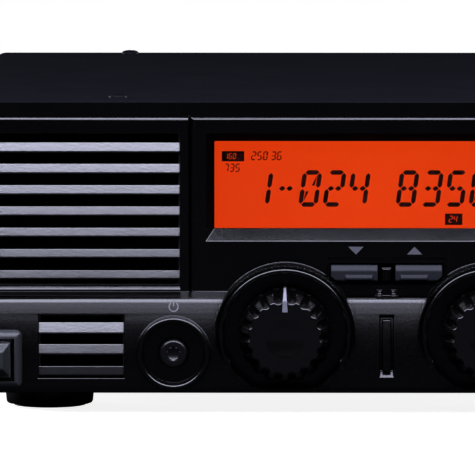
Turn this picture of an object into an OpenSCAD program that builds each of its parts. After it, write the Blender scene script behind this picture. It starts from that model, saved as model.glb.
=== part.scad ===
// Desk and mobile HF transceiver: moulded front, sheet metal case, finned rear wall.
// x runs to the right, z is the height above the table, d is the depth behind the front strip.

/* [Case] */
// Width of the front panel
panel_w = 241; // [236:1:260]
// Height of the front panel
panel_h = 99; // [98:1:112]
// Depth from the control ledge to the tips of the heat sink's fins
case_depth = 285; // [270:1:320]
// Distance of the sheet metal case inside the panel's sides
cover_in = 5.5; // [4.5:0.1:6]
// Thickness of the covers
sheet_t = 1.2; // [0.8:0.1:1.6]
// Outer bend radius of the covers
bend_r = 5; // [2.5:0.5:6]
// Height of the panel's lower edge above the table
foot_h = 7.4; // [6.4:0.1:12]
// Height of the bottom cover above the panel's lower edge
cover_lift = 1.2; // [0.6:0.1:1.6]
// Gap between the edges of the two covers
cover_seam = 0.4; // [0.2:0.1:1]

/* [Front moulding] */
// Depth of the moulding behind the front strip
panel_d = 14; // [13.8:0.1:18]
// Wall of the moulding
panel_wall = 3; // [2.6:0.1:3.2]
// Distance that the control ledge stands ahead of the strip
ledge_out = 9.5; // [8.5:0.1:11]
// Height of the ledge's top edge above the panel's lower edge
ledge_h = 30.8; // [30:0.1:31.6]
// Height of the ledge's foremost line above the panel's lower edge
ledge_mid = 5.6; // [4:0.1:8]
// Radius of the ledge's curved face
ledge_r = 72; // [66:1:90]
// Rounding along the bottom of the ledge
ledge_low_r = 2.5; // [1.5:0.1:3]
// Rounding along the top edge of the ledge
ledge_round = 3.5; // [3:0.1:3.8]
// Rounding along the top edge of the strip
edge_r = 1.7; // [1.2:0.1:2]
// Rounding of the panel's four corners
corner_r = 4; // [2:0.5:5]
// Width of the groove between the grille side and the display side
groove_w = 2.4; // [1.4:0.1:2.6]
// Depth of that groove
groove_deep = 2.2; // [1.2:0.1:2.4]

/* [Speaker grille] */
// Distance of the grille opening from the panel's left side
grille_edge = 8.5; // [8:0.1:12]
// Distance between the grille opening and the visible display
grille_gap = 11.75; // [11.3:0.05:13]
// Height of the grille opening
grille_h = 52.7; // [50:0.1:53]
// Distance from the panel's top to the opening
grille_drop = 9.9; // [9.6:0.1:11]
// Number of louvres
louvre_count = 7; // [5:1:8]
// Rise of a louvre's sloped face
louvre_rise = 3.5; // [2.6:0.1:4]
// Thickness of a louvre
louvre_t = 1.4; // [1:0.1:1.8]
// Distance of the small lower grille from the microphone jack's middle
vent_left = 15.4; // [15:0.1:18]
// Distance of the small lower grille from the power button's middle
vent_right = 16.95; // [16.5:0.05:20]
// Height of the small lower grille
vent_h = 21.7; // [18:0.1:21.8]
// Number of its louvres
vent_count = 3; // [2:1:3]

/* [Display] */
// Width of the visible display
window_w = 118.8; // [104:0.1:120]
// Height of the visible display
window_h = 30.2; // [24:0.1:31]
// Distance from the visible display to the panel's right side
window_edge = 31.25; // [31:0.05:34]
// Distance from the panel's top to the visible display
window_drop = 12.9; // [12.4:0.1:14]
// Run of the sloped frame at the sides
bevel_side = 3; // [2:0.1:3.2]
// Run of the sloped frame below the display
bevel_low = 4.1; // [2.5:0.1:4.4]
// Depth of the sloped frame
bevel_deep = 4.5; // [3.5:0.1:4.6]
// Thickness of the clear lens
lens_t = 1.5; // [1:0.1:1.6]

/* [Knobs] */
// Diameter of the two control knobs
knob_d = 32; // [28:0.5:34]
// Length of a knob
knob_len = 21; // [18:0.5:26]
// Depth of a knob's back behind the collar's rim
knob_sink = 10; // [8:0.1:10.6]
// Number of flutes round a knob
flutes = 18; // [12:1:24]
// Distance between the two knob axes
knob_span = 70; // [69:0.1:71]
// Height of the knob axes above the panel's lower edge
knob_h = 20.3; // [19.5:0.1:21]
// Radius of the dish round a knob
dish_r = 21.2; // [20.4:0.1:21.6]
// Wall of the raised collar round a dish
collar_t = 3; // [2.6:0.1:3.2]
// Distance that a collar stands ahead of the strip
collar_out = 10; // [9:0.1:11]
// Diameter of a control shaft
shaft_d = 6; // [5:0.1:6.4]
// Width of a knob's white pointer at its wide end
pointer_w = 2; // [1.4:0.1:2.4]

/* [Keys] */
// Width of a channel key
key_w = 16.2; // [14:0.1:16.6]
// Height of a channel key
key_h = 5.6; // [5.2:0.1:6]
// Gap between the two channel keys
key_gap = 6; // [5.4:0.1:7]
// Height of the channel keys' lower edge above the panel's lower edge
key_base = 38; // [37.6:0.1:38.4]
// Travel of a key
key_travel = 0.8; // [0.5:0.1:1]
// Distance of the side keys' middle from the panel's right side
side_key_edge = 13; // [12.5:0.1:13.5]
// Width of a side key
side_key_w = 15; // [12:0.1:15.4]
// Height of a side key
side_key_h = 6.5; // [5.5:0.1:7]
// Distance between side keys
side_key_pitch = 11; // [10:0.1:11]
// Distance between the power button and the left knob axis
power_gap = 38.4; // [38:0.1:39]
// Height of the power button above the panel's lower edge
power_h = 13.7; // [13.5:0.1:14.4]
// Diameter of the power button
power_d = 10; // [8:0.1:12]
// Outer diameter of the ring round the power button
power_ring_d = 25.4; // [24:0.1:26]
// Travel of the power button
power_travel = 2; // [1:0.1:2.5]

/* [Microphone jack] */
// Distance of the microphone jack's middle from the panel's left side
mic_edge = 15; // [14.6:0.1:15.6]
// Height of the microphone jack above the panel's lower edge
mic_h = 12; // [11.6:0.1:12.4]
// Width and height of the rubber cap
mic_cap_w = 19.8; // [18:0.1:20]
// Width of the jack's mouth
mic_mouth_w = 11.8; // [11:0.1:12]
// Height of the jack's mouth
mic_mouth_h = 8.6; // [8:0.1:9]

/* [Rear] */
// Height of the heat sink's fins
fin_h = 13; // [8:0.5:16]
// Thickness of a fin
fin_t = 2; // [1.5:0.1:3]
// Distance between fins
fin_pitch = 7.3; // [6:0.1:10]
// Thickness of the rear wall
rear_t = 6; // [5:0.5:8]
// Width of the cooling fan
fan_w = 60; // [50:1:60]
// Depth of the cooling fan
fan_deep = 15; // [14:0.5:20]
// Number of fan blades
blades = 7; // [5:1:9]
// Outer diameter of the antenna socket's threaded barrel
barrel_d = 15.88; // [15:0.01:16]
// Length of that barrel
barrel_len = 15.5; // [14:0.5:18]
// Bore of the antenna socket's contact
contact_d = 4; // [3.8:0.1:4.2]
// Diameter of the ground stud
stud_d = 5; // [4:0.1:6]
// Bore of a phone jack
jack_d = 3.6; // [3.5:0.1:3.7]

/* [Feet and fasteners] */
// Diameter of a front foot
front_foot_d = 31.2; // [26:0.2:32]
// Diameter of a rear foot
rear_foot_d = 24; // [20:0.2:26]
// Distance of the feet's middles inside the case's sides
foot_in = 27.9; // [24:0.1:34]
// Diameter of the case screws
screw_d = 3; // [2.5:0.1:3.5]
// Diameter of the case screws' heads
head_d = 6.4; // [5.5:0.1:7]
// Height of those heads
head_h = 1.3; // [1:0.1:1.6]
// Diameter of the bracket screws at the sides
bracket_d = 5; // [4:0.1:6]
// Distance between the bracket screws of one side
bracket_span = 50; // [40:1:60]
// Radial clearance of a screw in its thread
thread_gap = 0.02; // [0.01:0.01:0.05]
// Radial clearance of a turning shaft
run_gap = 0.05; // [0.02:0.01:0.1]
// Clearance of a moving key in its hole
key_play = 0.3; // [0.2:0.05:0.4]
// Radial clearance of a screw in the piece that it holds
screw_play = 0.2; // [0.1:0.05:0.3]

/* [Hidden] */
$fn = 48;

black = "#17191e";
dark = "#22252b";
grey = "#55585f";
metal = "#a9adb3";
brass = "#c9a24a";
green = "#1f5a3c";
cut = 1;

// Heights
panel_z0 = foot_h;
panel_z1 = panel_z0 + panel_h;
cover_z0 = panel_z0 + cover_lift;
cover_mid = (cover_z0 + panel_z1) / 2;
inner_z0 = cover_z0 + sheet_t;
inner_z1 = panel_z1 - sheet_t;
knob_z = panel_z0 + knob_h;
ledge_z = panel_z0 + ledge_h;
key_z = panel_z0 + key_base;
power_z = panel_z0 + power_h;
mic_z = panel_z0 + mic_h;

// Depths behind the strip plane
fin_end = case_depth - ledge_out;
rear_face = fin_end - fin_h;
rear_front = rear_face - rear_t;
cover_end = rear_face + 2;
knob_tip = knob_sink - collar_out - knob_len;
flange_t = 2;
barrel_end = rear_face + flange_t + barrel_len;
strip_y = -(knob_tip + barrel_end) / 2;
plate_front = panel_d + 2;
plate_t = 2;
lens_front = bevel_deep + 1;
lcd_front = lens_front + lens_t;
lcd_t = 2.4;
board_front = panel_d - 2;
board_t = 1.6;

// Widths
panel_x = panel_w / 2;
cover_x = panel_x - cover_in;
inner_x = cover_x - sheet_t;
side_t = 3;
window_x1 = panel_x - window_edge;
window_x0 = window_x1 - window_w;
window_x = (window_x0 + window_x1) / 2;
grille_x0 = grille_edge - panel_x;
grille_x1 = window_x0 - grille_gap;
knob_x = [window_x - knob_span / 2, window_x + knob_span / 2];
side_key_x = panel_x - side_key_edge;
power_x = knob_x[0] - power_gap;
mic_x = mic_edge - panel_x;
foot_x = cover_x - foot_in;

// Curved faces of the front, in depth and height
ledge_c = [ledge_r - ledge_out, panel_z0 + ledge_mid];
ledge_t0 = asin((ledge_low_r - ledge_mid) / ledge_r);
ledge_t1 = asin((ledge_h - ledge_mid) / ledge_r);
ledge_end = ledge_c + ledge_r * [-cos(ledge_t1), sin(ledge_t1)];
ledge_tip = ledge_end + ledge_round * [cos(ledge_t1), -sin(ledge_t1)];
ledge_slope = 28;
shelf = ledge_tip + ledge_round * [-sin(ledge_slope), cos(ledge_slope)];
shelf_z = shelf[1] - shelf[0] * tan(ledge_slope);
strip_slope = 17.3;
top_back_z = panel_z1 - 0.2;
strip_c = [edge_r, top_back_z - (panel_d - edge_r) * tan(strip_slope) - edge_r / cos(strip_slope)];

function arc(c, r, a0, a1, n) =
    [for (i = [0:n]) let (a = a0 + (a1 - a0) * i / n) c + r * [cos(a), sin(a)]];

function rounded(x0, x1, y0, y1, r, n = 6) = concat(
    arc([x1 - r, y1 - r], r, 0, 90, n), arc([x0 + r, y1 - r], r, 90, 180, n),
    arc([x0 + r, y0 + r], r, 180, 270, n), arc([x1 - r, y0 + r], r, 270, 360, n));

// Outline of the front moulding from the side
function panel_outline() = concat(
    [[panel_d, panel_z0]],
    arc([ledge_c[0] - ledge_r * cos(ledge_t0) + ledge_low_r, panel_z0 + ledge_low_r],
        ledge_low_r, 270, 186, 6),
    arc(ledge_c, ledge_r, 180 - ledge_t0, 180 - ledge_t1, 16),
    arc(ledge_tip, ledge_round, 176 - ledge_t1, 90 + ledge_slope, 8),
    [[0, shelf_z]],
    arc(strip_c, edge_r, 180, 90 + strip_slope, 8),
    [[panel_d, top_back_z]]);

// Hollow of the moulding from the side
function panel_hollow() = concat(
    [[panel_d + cut, panel_z0 + panel_wall]],
    arc(ledge_c, ledge_r - panel_wall, 180 - asin((panel_wall - ledge_mid) / ledge_r),
        185 - ledge_t1, 10),
    [[panel_wall, ledge_z - 1.2], [panel_wall, strip_c[1] - panel_wall / 2],
     [panel_wall + 2, strip_c[1] - panel_wall / 3],
     [panel_d + cut, top_back_z - panel_wall]]);

// Placing helpers
module along_x(x0, x1) {
    translate([x0, strip_y, 0]) rotate([90, 0, 90]) linear_extrude(x1 - x0) children();
}

module facing(d0, d1) {
    translate([0, strip_y + d1, 0]) rotate([90, 0, 0]) linear_extrude(d1 - d0) children();
}

module in_plan(z0, z1) {
    translate([0, strip_y, z0]) linear_extrude(z1 - z0) children();
}

module block(x0, x1, d0, d1, z0, z1) {
    translate([x0, strip_y + d0, z0]) cube([x1 - x0, d1 - d0, z1 - z0]);
}

module drum(x, z, d0, d1, r) {
    translate([x, strip_y + d0, z]) rotate([-90, 0, 0]) cylinder(h = d1 - d0, r = r);
}

module post(x, d, z0, z1, r) {
    translate([x, strip_y + d, z0]) cylinder(h = z1 - z0, r = r);
}

module across(x0, x1, d, z, r) {
    translate([x0, strip_y + d, z]) rotate([0, 90, 0]) cylinder(h = x1 - x0, r = r);
}

// A revolved profile of [radius, depth] points about an axis along the depth
module turned(x, z, points) {
    translate([x, strip_y, z]) rotate([-90, 0, 0]) rotate_extrude() polygon(points);
}

module hex_nut(x, z, d0, d1, across_flats) {
    translate([x, strip_y + d0, z]) rotate([-90, 0, 0])
        cylinder(h = d1 - d0, r = across_flats / 2 / cos(30), $fn = 6);
}

// Front moulding

boss_r = 2.4;
arm_d0 = 6;
arm_z = [[panel_z0 + 23.6, panel_z0 + 31.6], [panel_z1 - 28.4, panel_z1 - 16.4]];
pad_x = inner_x;
panel_screw_d = 9.5;
vent_z1 = panel_z0 + 27;
vent_z0 = vent_z1 - vent_h;
vent_x0 = mic_x + vent_left;
vent_x1 = power_x - vent_right;
vent_back = -3;
grille_z1 = panel_z1 - grille_drop;
grille_z0 = grille_z1 - grille_h;
window_z1 = panel_z1 - window_drop;
window_z0 = window_z1 - window_h;
boss_spots = [
    [window_x0 + 1.6, window_z0 - 9], [window_x1 - 1.2, window_z0 - 9], [window_x, panel_z0 + 12.6],
    [panel_x - 20.5, panel_z0 + 10.6], [13.5 - panel_x, grille_z0 - 5.4], [window_x1 + 8.8, window_z1 + 3.3]];
bevel_top = 3;
tub_wall = 2.6;
power_floor = -4.5;
power_floor_t = 2.5;
dish_floor = 1;
dish_low = panel_z0 + 1.8;
collar_r = dish_r + collar_t;
bead_r = 0.85;
bead_step = 0.8;
shoulder_r = collar_t - 2 * bead_r;
sill = 1.3;
pocket_front = shelf[0] - 0.2;
pocket_z = ledge_z - 0.4;
groove_x = grille_x1 + 2.9;
spine_w = 4.8;
spine_deep = 2;
rib_w = 2.8;
jack_w = 16;
jack_h = 14.5;
jack_front = -7.4;
jack_play = 0.2;
switch_front = 8.5;
stem_r = 1.7;
power_stem_r = 1.6;
bush_r = 4.5;

// Rounded corners of the moulding from above
module panel_plan(front, r) {
    polygon(concat([[panel_x, panel_d], [-panel_x, panel_d]],
        arc([r - panel_x, r - front], r, 180, 270, 6), arc([panel_x - r, r - front], r, 270, 360, 6)));
}

module panel_body() {
    intersection() {
        along_x(-panel_x, panel_x) polygon(panel_outline());
        union() {
            in_plan(panel_z0, shelf_z) panel_plan(ledge_out, 8);
            in_plan(shelf_z, panel_z1) panel_plan(0, 4);
        }
        facing(-ledge_out - cut, panel_d + cut)
            polygon(rounded(-panel_x, panel_x, panel_z0, top_back_z, corner_r));
    }
}

// Sloped frame that leads down to the display
module window_slope() {
    z0 = window_z0;
    z1 = window_z1;
    run = cut / bevel_deep;
    intersection() {
        along_x(window_x0 - 10, window_x1 + 10) polygon([
            [-cut, z0 - bevel_low * (1 + run)], [bevel_deep, z0], [bevel_deep, z1],
            [-cut, z1 + bevel_top * (1 + run)]]);
        in_plan(z0 - 10, z1 + 10) polygon([
            [window_x0 - bevel_side * (1 + run), -cut], [window_x0, bevel_deep],
            [window_x1, bevel_deep], [window_x1 + bevel_side * (1 + run), -cut]]);
    }
}

module window_tub() {
    block(window_x0 - bevel_side - tub_wall, window_x1 + bevel_side + tub_wall, 0, lens_front,
        window_z0 - bevel_low - tub_wall, strip_c[1] - 0.2);
}

// Collar that rings a knob: a round bead on a rounded shoulder, and the floor of its dish
module collar(x) {
    bead_d = bead_r - collar_out;
    shoulder_d = bead_d + bead_step + shoulder_r - bead_r;
    intersection() {
        turned(x, knob_z, concat(
            [[0, dish_floor], [dish_r, dish_floor]],
            arc([dish_r + bead_r, bead_d], bead_r, 180, 360, 8),
            arc([collar_r - shoulder_r, shoulder_d], shoulder_r, 270, 360, 5),
            [[collar_r, panel_wall], [0, panel_wall]]));
        block(x - collar_r - cut, x + collar_r + cut, -collar_out - cut, panel_wall + cut,
            panel_z0 + ledge_low_r, panel_z1);
    }
}

module dish(x) {
    intersection() {
        drum(x, knob_z, -collar_out - cut, dish_floor, dish_r);
        block(x - collar_r, x + collar_r, -collar_out - cut, dish_floor, dish_low, panel_z1);
    }
}

module power_ring() {
    ring_r = power_ring_d / 2;
    turned(power_x, power_z, [
        [0, power_floor], [ring_r - 2.1, power_floor], [ring_r - 2.1, 0.6 - ledge_out - 1.5],
        [ring_r - 1.5, -ledge_out - 1.5], [ring_r - 0.6, -ledge_out - 1.5], [ring_r, 0.6 - ledge_out - 1.5],
        [ring_r, power_floor + power_floor_t], [0, power_floor + power_floor_t]]);
}

module key_outline(side, grow) {
    x0 = side < 0 ? window_x - key_gap / 2 - key_w : window_x + key_gap / 2;
    difference() {
        translate([x0 - grow, key_z - grow]) square([key_w + 2 * grow, key_h + 2 * grow]);
        translate([side < 0 ? knob_x[0] : knob_x[1], knob_z]) circle(r = collar_r + 0.8 - grow);
    }
}

module side_key_outline(n, grow) {
    z = panel_z1 - 20.4 - (n - 1) * side_key_pitch;
    translate([side_key_x, z]) polygon(rounded(-side_key_w / 2 - grow, side_key_w / 2 + grow,
        -side_key_h / 2 - grow, side_key_h / 2 + grow, 1 + grow));
}

// Groove between the keys' bridge and the lower edge, with a rib standing in it
module spine_groove() {
    difference() {
        along_x(window_x - spine_w / 2, window_x + spine_w / 2) polygon([
            [-ledge_out - cut, panel_z0 + 4.6], [spine_deep - ledge_out, panel_z0 + 7.6],
            [0, panel_z0 + 7.6], [0, ledge_z - 4], [-ledge_out - cut, ledge_z - 4]]);
        across(window_x - spine_w, window_x + spine_w, ledge_c[0], ledge_c[1], ledge_r - spine_deep);
    }
}

module spine_rib() {
    intersection() {
        block(window_x - rib_w / 2, window_x + rib_w / 2, -ledge_out - cut, spine_deep,
            panel_z0 + 7.6, ledge_z - 5.6);
        across(window_x - rib_w, window_x + rib_w, ledge_c[0], ledge_c[1], ledge_r - 0.4);
    }
}

module front_panel() {
    color(black) difference() {
        union() {
            difference() {
                panel_body();
                along_x(panel_wall - panel_x, panel_x - panel_wall) polygon(panel_hollow());
            }
            for (s = [-1, 1]) {
                block(s > 0 ? cover_x - 0.6 : 0.6 - panel_x, s > 0 ? panel_x - 0.6 : 0.6 - cover_x,
                    panel_d - 2, panel_d, panel_z0 + corner_r, top_back_z - corner_r);
                for (z = arm_z) {
                    block(s > 0 ? pad_x : 0.6 - panel_x, s > 0 ? panel_x - 0.6 : -pad_x,
                        arm_d0, panel_d, z[0], z[1]);
                }
            }
            window_tub();
            intersection() {
                panel_body();
                union() {
                    block(vent_x0 - 2, vent_x1 + 2, -ledge_out - cut, vent_back, vent_z0 - 2, vent_z1 + 2);
                    block(mic_x - jack_w / 2 - 2.2, mic_x + jack_w / 2 + 2.2, -ledge_out - cut, 2,
                        panel_z0, mic_z + jack_h / 2 + 2.2);
                    for (p = boss_spots) {
                        drum(p[0], p[1], -ledge_out, board_front, boss_r);
                    }
                }
            }
            for (x = knob_x) collar(x);
            power_ring();
            block(window_x - 1.4, window_x + 1.4, -1.2, 1, key_z + 0.2, key_z + 4.4);
        }
        block(grille_x0, grille_x1, -cut, panel_wall + cut, grille_z0, grille_z1);
        along_x(grille_x0, grille_x1) polygon([
            [-cut, grille_z0 - sill - cut], [sill + cut, grille_z0 + cut], [-cut, grille_z0 + cut]]);
        window_slope();
        block(window_x0, window_x1, 0, lens_front + cut, window_z0, window_z1);
        in_plan(shelf_z, panel_z1) polygon(concat(
            [[groove_x, groove_deep], [groove_x, -cut], [groove_x + groove_w, -cut]],
            arc([groove_x + groove_w, groove_deep], groove_deep, 270, 180, 6)));
        for (x = knob_x) {
            dish(x);
            drum(x, knob_z, 0, panel_wall + cut, bush_r + 0.1);
        }
        drum(power_x, power_z, -ledge_out - 2, power_floor, power_ring_d / 2 - 2.1);
        drum(power_x, power_z, power_floor - cut, 0, power_d / 2 + key_play / 2);
        difference() {
            block(window_x - 20.5, window_x + 20.5, -0.01, 0.6, shelf_z + 0.8, key_z + key_h + 2.3);
            for (x = knob_x) drum(x, knob_z, -cut, cut, collar_r);
            block(window_x - 1.4, window_x + 1.4, -cut, cut, key_z + 0.2, key_z + 4.4);
        }
        difference() {
            block(window_x - 24, window_x + 24, pocket_front, 0.6, pocket_z - 1.4, shelf_z + 1);
            for (x = knob_x) drum(x, knob_z, pocket_front - cut, 2, collar_r);
            block(window_x - 3.8, window_x + 3.8, pocket_front - cut, 2, pocket_z - 2, shelf[1] + 0.2);
            for (s = [-1, 1]) block(window_x + s * 2.45 - 0.8, window_x + s * 2.45 + 0.8, -1.2, 2,
                shelf[1], shelf_z + 0.4);
        }
        block(window_x - 0.8, window_x + 0.8, -2, -0.4, key_z - 0.2, key_z + 3.7);
        for (s = [-1, 1]) facing(-cut, panel_wall + cut) key_outline(s, key_play);
        for (n = [1:4]) facing(-cut, panel_wall + cut) side_key_outline(n, key_play);
        block(vent_x0, vent_x1, -ledge_out - cut, 0, vent_z0, vent_z1);
        block(vent_x0 - 1.8, vent_x1 + 1.8, vent_back, panel_wall, vent_z0 - 1.8, vent_z1 + 1.8);
        block(mic_x - jack_w / 2 - jack_play, mic_x + jack_w / 2 + jack_play, -ledge_out - cut, 3,
            mic_z - jack_h / 2 - jack_play, mic_z + jack_h / 2 + jack_play);
        difference() {
            spine_groove();
            spine_rib();
        }
        for (p = boss_spots) drum(p[0], p[1], board_front - 6, board_front + cut, 1 + thread_gap);
        for (s = [-1, 1]) for (z = arm_z) {
            across(s > 0 ? pad_x - cut : -panel_x - cut, s > 0 ? panel_x + cut : cut - pad_x,
                panel_screw_d, (z[0] + z[1]) / 2, screw_d / 2 + screw_play);
            across(s > 0 ? panel_x - 1.6 : -panel_x - cut, s > 0 ? panel_x + cut : 1.6 - panel_x,
                panel_screw_d, (z[0] + z[1]) / 2, head_d / 2);
        }
    }
}

// Grilles

rail = 5.2;
rail_t = 2.7;
vent_rail_t = 1.5;

nose_r = 0.5;
louvre_slope = [14, 18];
louvre_low = 0.86;
louvre_drop = 3.26;
louvre_back = 5.5;
vent_slope = [3, 15];
vent_low = 0.78;
vent_rise = 3.9;
vent_drop = 2.76;
vent_bow = 1.5;
vent_front = 2.4 - ledge_out;
vent_deep = 5;

// Louvre from the side, with its top at the height z1: a face with a rounded nose leans back by the slope,
// and a shelf runs back from its foot
function louvre(d, z1, rise, slope, back) = let (
    z0 = z1 - rise,
    c = [d + nose_r, z0 + nose_r],
    face = c + nose_r * [-cos(slope), sin(slope)],
    top_d = face[0] + (z1 - face[1]) * tan(slope)) concat(
    arc(c, nose_r, 270, 180 - slope, 6),
    [[top_d, z1], [top_d + louvre_t, z1], [d + louvre_t + nose_r, z0 + louvre_t], [back, z0 + louvre_t],
     [back, z0]]);

// Row of louvres under the height z1, which lean back more and grow taller towards the top one
module louvres(x0, x1, d, back, z1, pitch, count, rise, low, slope, bow) {
    for (i = [0:count - 1]) {
        k = i / (count - 1);
        along_x(x0, x1) polygon(louvre(d - bow * (1 - k), z1 - (count - 1 - i) * pitch,
            rise * (low + (1 - low) * k), slope[0] + (slope[1] - slope[0]) * k, back));
    }
}

module speaker_grille() {
    pitch = grille_h / (louvre_count + 0.14);
    color(grey) union() {
        difference() {
            facing(panel_wall, panel_wall + rail_t) difference() {
                polygon(rounded(grille_x0 - rail, grille_x1 + rail, grille_z0 - 2.2, grille_z1 + 2, 1));
                polygon(rounded(grille_x0 + 0.6, grille_x1 - 0.6, grille_z0 + 0.3, grille_z1 - 0.3, 0.3));
            }
            for (x = speaker_ears) drum(x, speaker_z, 0, 10, 1.25 + thread_gap);
        }
        louvres(grille_x0 + 0.15, grille_x1 - 0.15, 0.5, louvre_back, grille_z1 - louvre_drop, pitch,
            louvre_count, louvre_rise, louvre_low, louvre_slope, 0);
    }
}

module lower_grille() {
    pitch = vent_h / (vent_count - 0.1);
    color(grey) union() {
        facing(vent_back, vent_back + vent_rail_t) difference() {
            square_at(vent_x0 - 1.6, vent_x1 + 1.6, vent_z0 - 1.6, vent_z1 + 1.6);
            square_at(vent_x0 + 0.6, vent_x1 - 0.6, vent_z0 + 0.6, vent_z1 - 0.6);
        }
        louvres(vent_x0 + 0.15, vent_x1 - 0.15, vent_front, vent_front + vent_deep, vent_z1 - vent_drop,
            pitch, vent_count, vent_rise, vent_low, vent_slope, vent_bow);
    }
}

module square_at(x0, x1, z0, z1) {
    translate([x0, z0]) square([x1 - x0, z1 - z0]);
}

// Display

lens_edge = 2;

module display_sheet(d0, t, edge) {
    facing(d0, d0 + t) square_at(window_x0 - edge, window_x1 + edge, window_z0 - edge, window_z1 + edge);
}

module display_lens() {
    color("#d8dde2", 0.4) display_sheet(lens_front, lens_t, lens_edge);
}

module lcd_glass() {
    color("#de3a0c") display_sheet(lcd_front, lcd_t, lens_edge + 1);
}

module backlight() {
    color("#e9e4d8") display_sheet(lcd_front + lcd_t, board_front - lcd_front - lcd_t, lens_edge + 1);
}

// Controls behind the panel

board_low = panel_z0 + panel_wall + 2;
board_high = strip_c[1] - panel_wall - 0.6;
board_x1 = inner_x - side_t - 0.4;
switch_w = 6;

module front_board() {
    color(green) difference() {
        facing(board_front, board_front + board_t) union() {
            square_at(groove_x + 2.6, board_x1, board_low, board_high);
            square_at(-board_x1, groove_x + 3, board_low, ledge_z + 0.6);
        }
        for (p = boss_spots) drum(p[0], p[1], board_front - cut, board_front + 3, 1.2);
    }
}

function key_centre(s) = [window_x + s * (key_gap / 2 + key_w / 2 - 1.6), key_z + key_h / 2];
function side_centre(n) = [side_key_x, panel_z1 - 20.4 - (n - 1) * side_key_pitch];
switch_spots = [key_centre(-1), key_centre(1), for (n = [1:4]) side_centre(n)];

module panel_switches() {
    color(dark) {
        for (p = switch_spots) difference() {
            block(p[0] - switch_w / 2, p[0] + switch_w / 2, switch_front, board_front,
                p[1] - switch_w / 2, p[1] + switch_w / 2);
            drum(p[0], p[1], switch_front - cut, board_front - 0.6, stem_r + 0.1);
        }
        difference() {
            block(power_x - 5, power_x + 5, 4, board_front, power_z - 5, power_z + 5);
            drum(power_x, power_z, 3, board_front - 0.6, power_stem_r + 0.1);
        }
    }
}

bush_tip = -4;

module control_bush(x) {
    drum(x, knob_z, bush_tip, panel_wall + cut, bush_r);
}

module channel_encoder() {
    x = knob_x[0];
    color(metal) difference() {
        union() {
            control_bush(x);
            block(x - 6.5, x + 6.5, panel_wall, board_front, knob_z - 6.5, knob_z + 6.5);
        }
        drum(x, knob_z, bush_tip - cut, board_front - 2, shaft_d / 2 + run_gap);
    }
}

module volume_pot() {
    x = knob_x[1];
    color(metal) difference() {
        union() {
            control_bush(x);
            drum(x, knob_z, panel_wall, board_front, 8.4);
        }
        drum(x, knob_z, bush_tip - cut, board_front - 2, shaft_d / 2 + run_gap);
    }
}

module control_nuts() {
    color(metal) for (x = knob_x) difference() {
        union() {
            drum(x, knob_z, dish_floor - 0.6, dish_floor, 7.4);
            hex_nut(x, knob_z, dish_floor - 2.6, dish_floor - 0.5, 12);
        }
        drum(x, knob_z, bush_tip, 2, bush_r + thread_gap);
    }
}

module control_shaft(x) {
    color(metal) drum(x, knob_z, knob_tip + 4.2, board_front - 2.4, shaft_d / 2);
}

module channel_shaft() {
    control_shaft(knob_x[0]);
}

module volume_shaft() {
    control_shaft(knob_x[1]);
}

// Knobs, each a fluted cap with a hollow back and a pointer let into its top

knob_r = knob_d / 2;
knob_back = knob_tip + knob_len;
pointer_proud = 0.15;
knob_front = knob_tip + pointer_proud;
knob_face_r = knob_r - 3.4;
knob_shoulder = [knob_r - 0.9, 4.6];
shoulder_slope = atan((knob_shoulder[0] - knob_face_r) / knob_shoulder[1]);
flute_r = 1.75;
flute_out = 0.7;
hub_r = 5.4;
pointer_deep = 0.7;
pointer_tip = 0.7;
pointer_low = 3.7;

function knob_outline(o) = [
    [0, knob_front + o], [knob_face_r - o, knob_front + o],
    [knob_shoulder[0] - o, knob_front + knob_shoulder[1] + o],
    [knob_r - o, knob_front + 8 + o], [knob_r - o, knob_back - o], [0, knob_back - o]];

module pointer_slot(x) {
    difference() {
        facing(knob_front - cut, knob_back + cut) translate([x, knob_z]) polygon([
            [-pointer_tip / 2, knob_r + cut], [pointer_tip / 2, knob_r + cut],
            [pointer_w / 2, knob_face_r - pointer_low], [-pointer_w / 2, knob_face_r - pointer_low]]);
        turned(x, knob_z, [
            [0, knob_front + pointer_deep], [knob_face_r - pointer_deep, knob_front + pointer_deep],
            [knob_shoulder[0] - pointer_deep, knob_front + knob_shoulder[1] + pointer_deep],
            [knob_r - pointer_deep, knob_front + 8], [knob_r - pointer_deep, knob_back + 2],
            [0, knob_back + 2]]);
    }
}

module knob(x) {
    difference() {
        turned(x, knob_z, knob_outline(0));
        for (i = [0:flutes - 1]) {
            a = 90 + (i + 0.5) * 360 / flutes;
            drum(x + (knob_r + flute_out) * cos(a), knob_z + (knob_r + flute_out) * sin(a),
                knob_front - cut, knob_back - 1.6, flute_r);
            translate([x, strip_y + knob_front, knob_z]) rotate([0, -a, 0])
                translate([knob_face_r + flute_out + 0.4, 0, 0]) rotate([0, 0, -shoulder_slope])
                rotate([-90, 0, 0]) translate([0, 0, -3]) cylinder(h = 10, r = flute_r);
        }
        turned(x, knob_z, [
            [hub_r, knob_front + 11], [knob_r - 3, knob_front + 11], [knob_r - 3, knob_back + cut],
            [0, knob_back + cut], [0, knob_back - 5.2], [hub_r, knob_back - 5.2]]);
        drum(x, knob_z, knob_front + 4, knob_back, shaft_d / 2 + thread_gap);
        translate([x, strip_y + knob_front - 30, knob_z]) sphere(r = 30.8, $fn = 96);
        pointer_slot(x);
    }
}

module knob_pointer(x) {
    color("white") intersection() {
        turned(x, knob_z, knob_outline(-pointer_proud));
        pointer_slot(x);
    }
}

module channel_knob() {
    color(black) knob(knob_x[0]);
}

module volume_knob() {
    color(black) knob(knob_x[1]);
}

module channel_pointer() {
    knob_pointer(knob_x[0]);
}

module volume_pointer() {
    knob_pointer(knob_x[1]);
}

// Keys

lip_t = 1;
lip_gap = 0.2;
lip_grow = 0.7;

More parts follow.
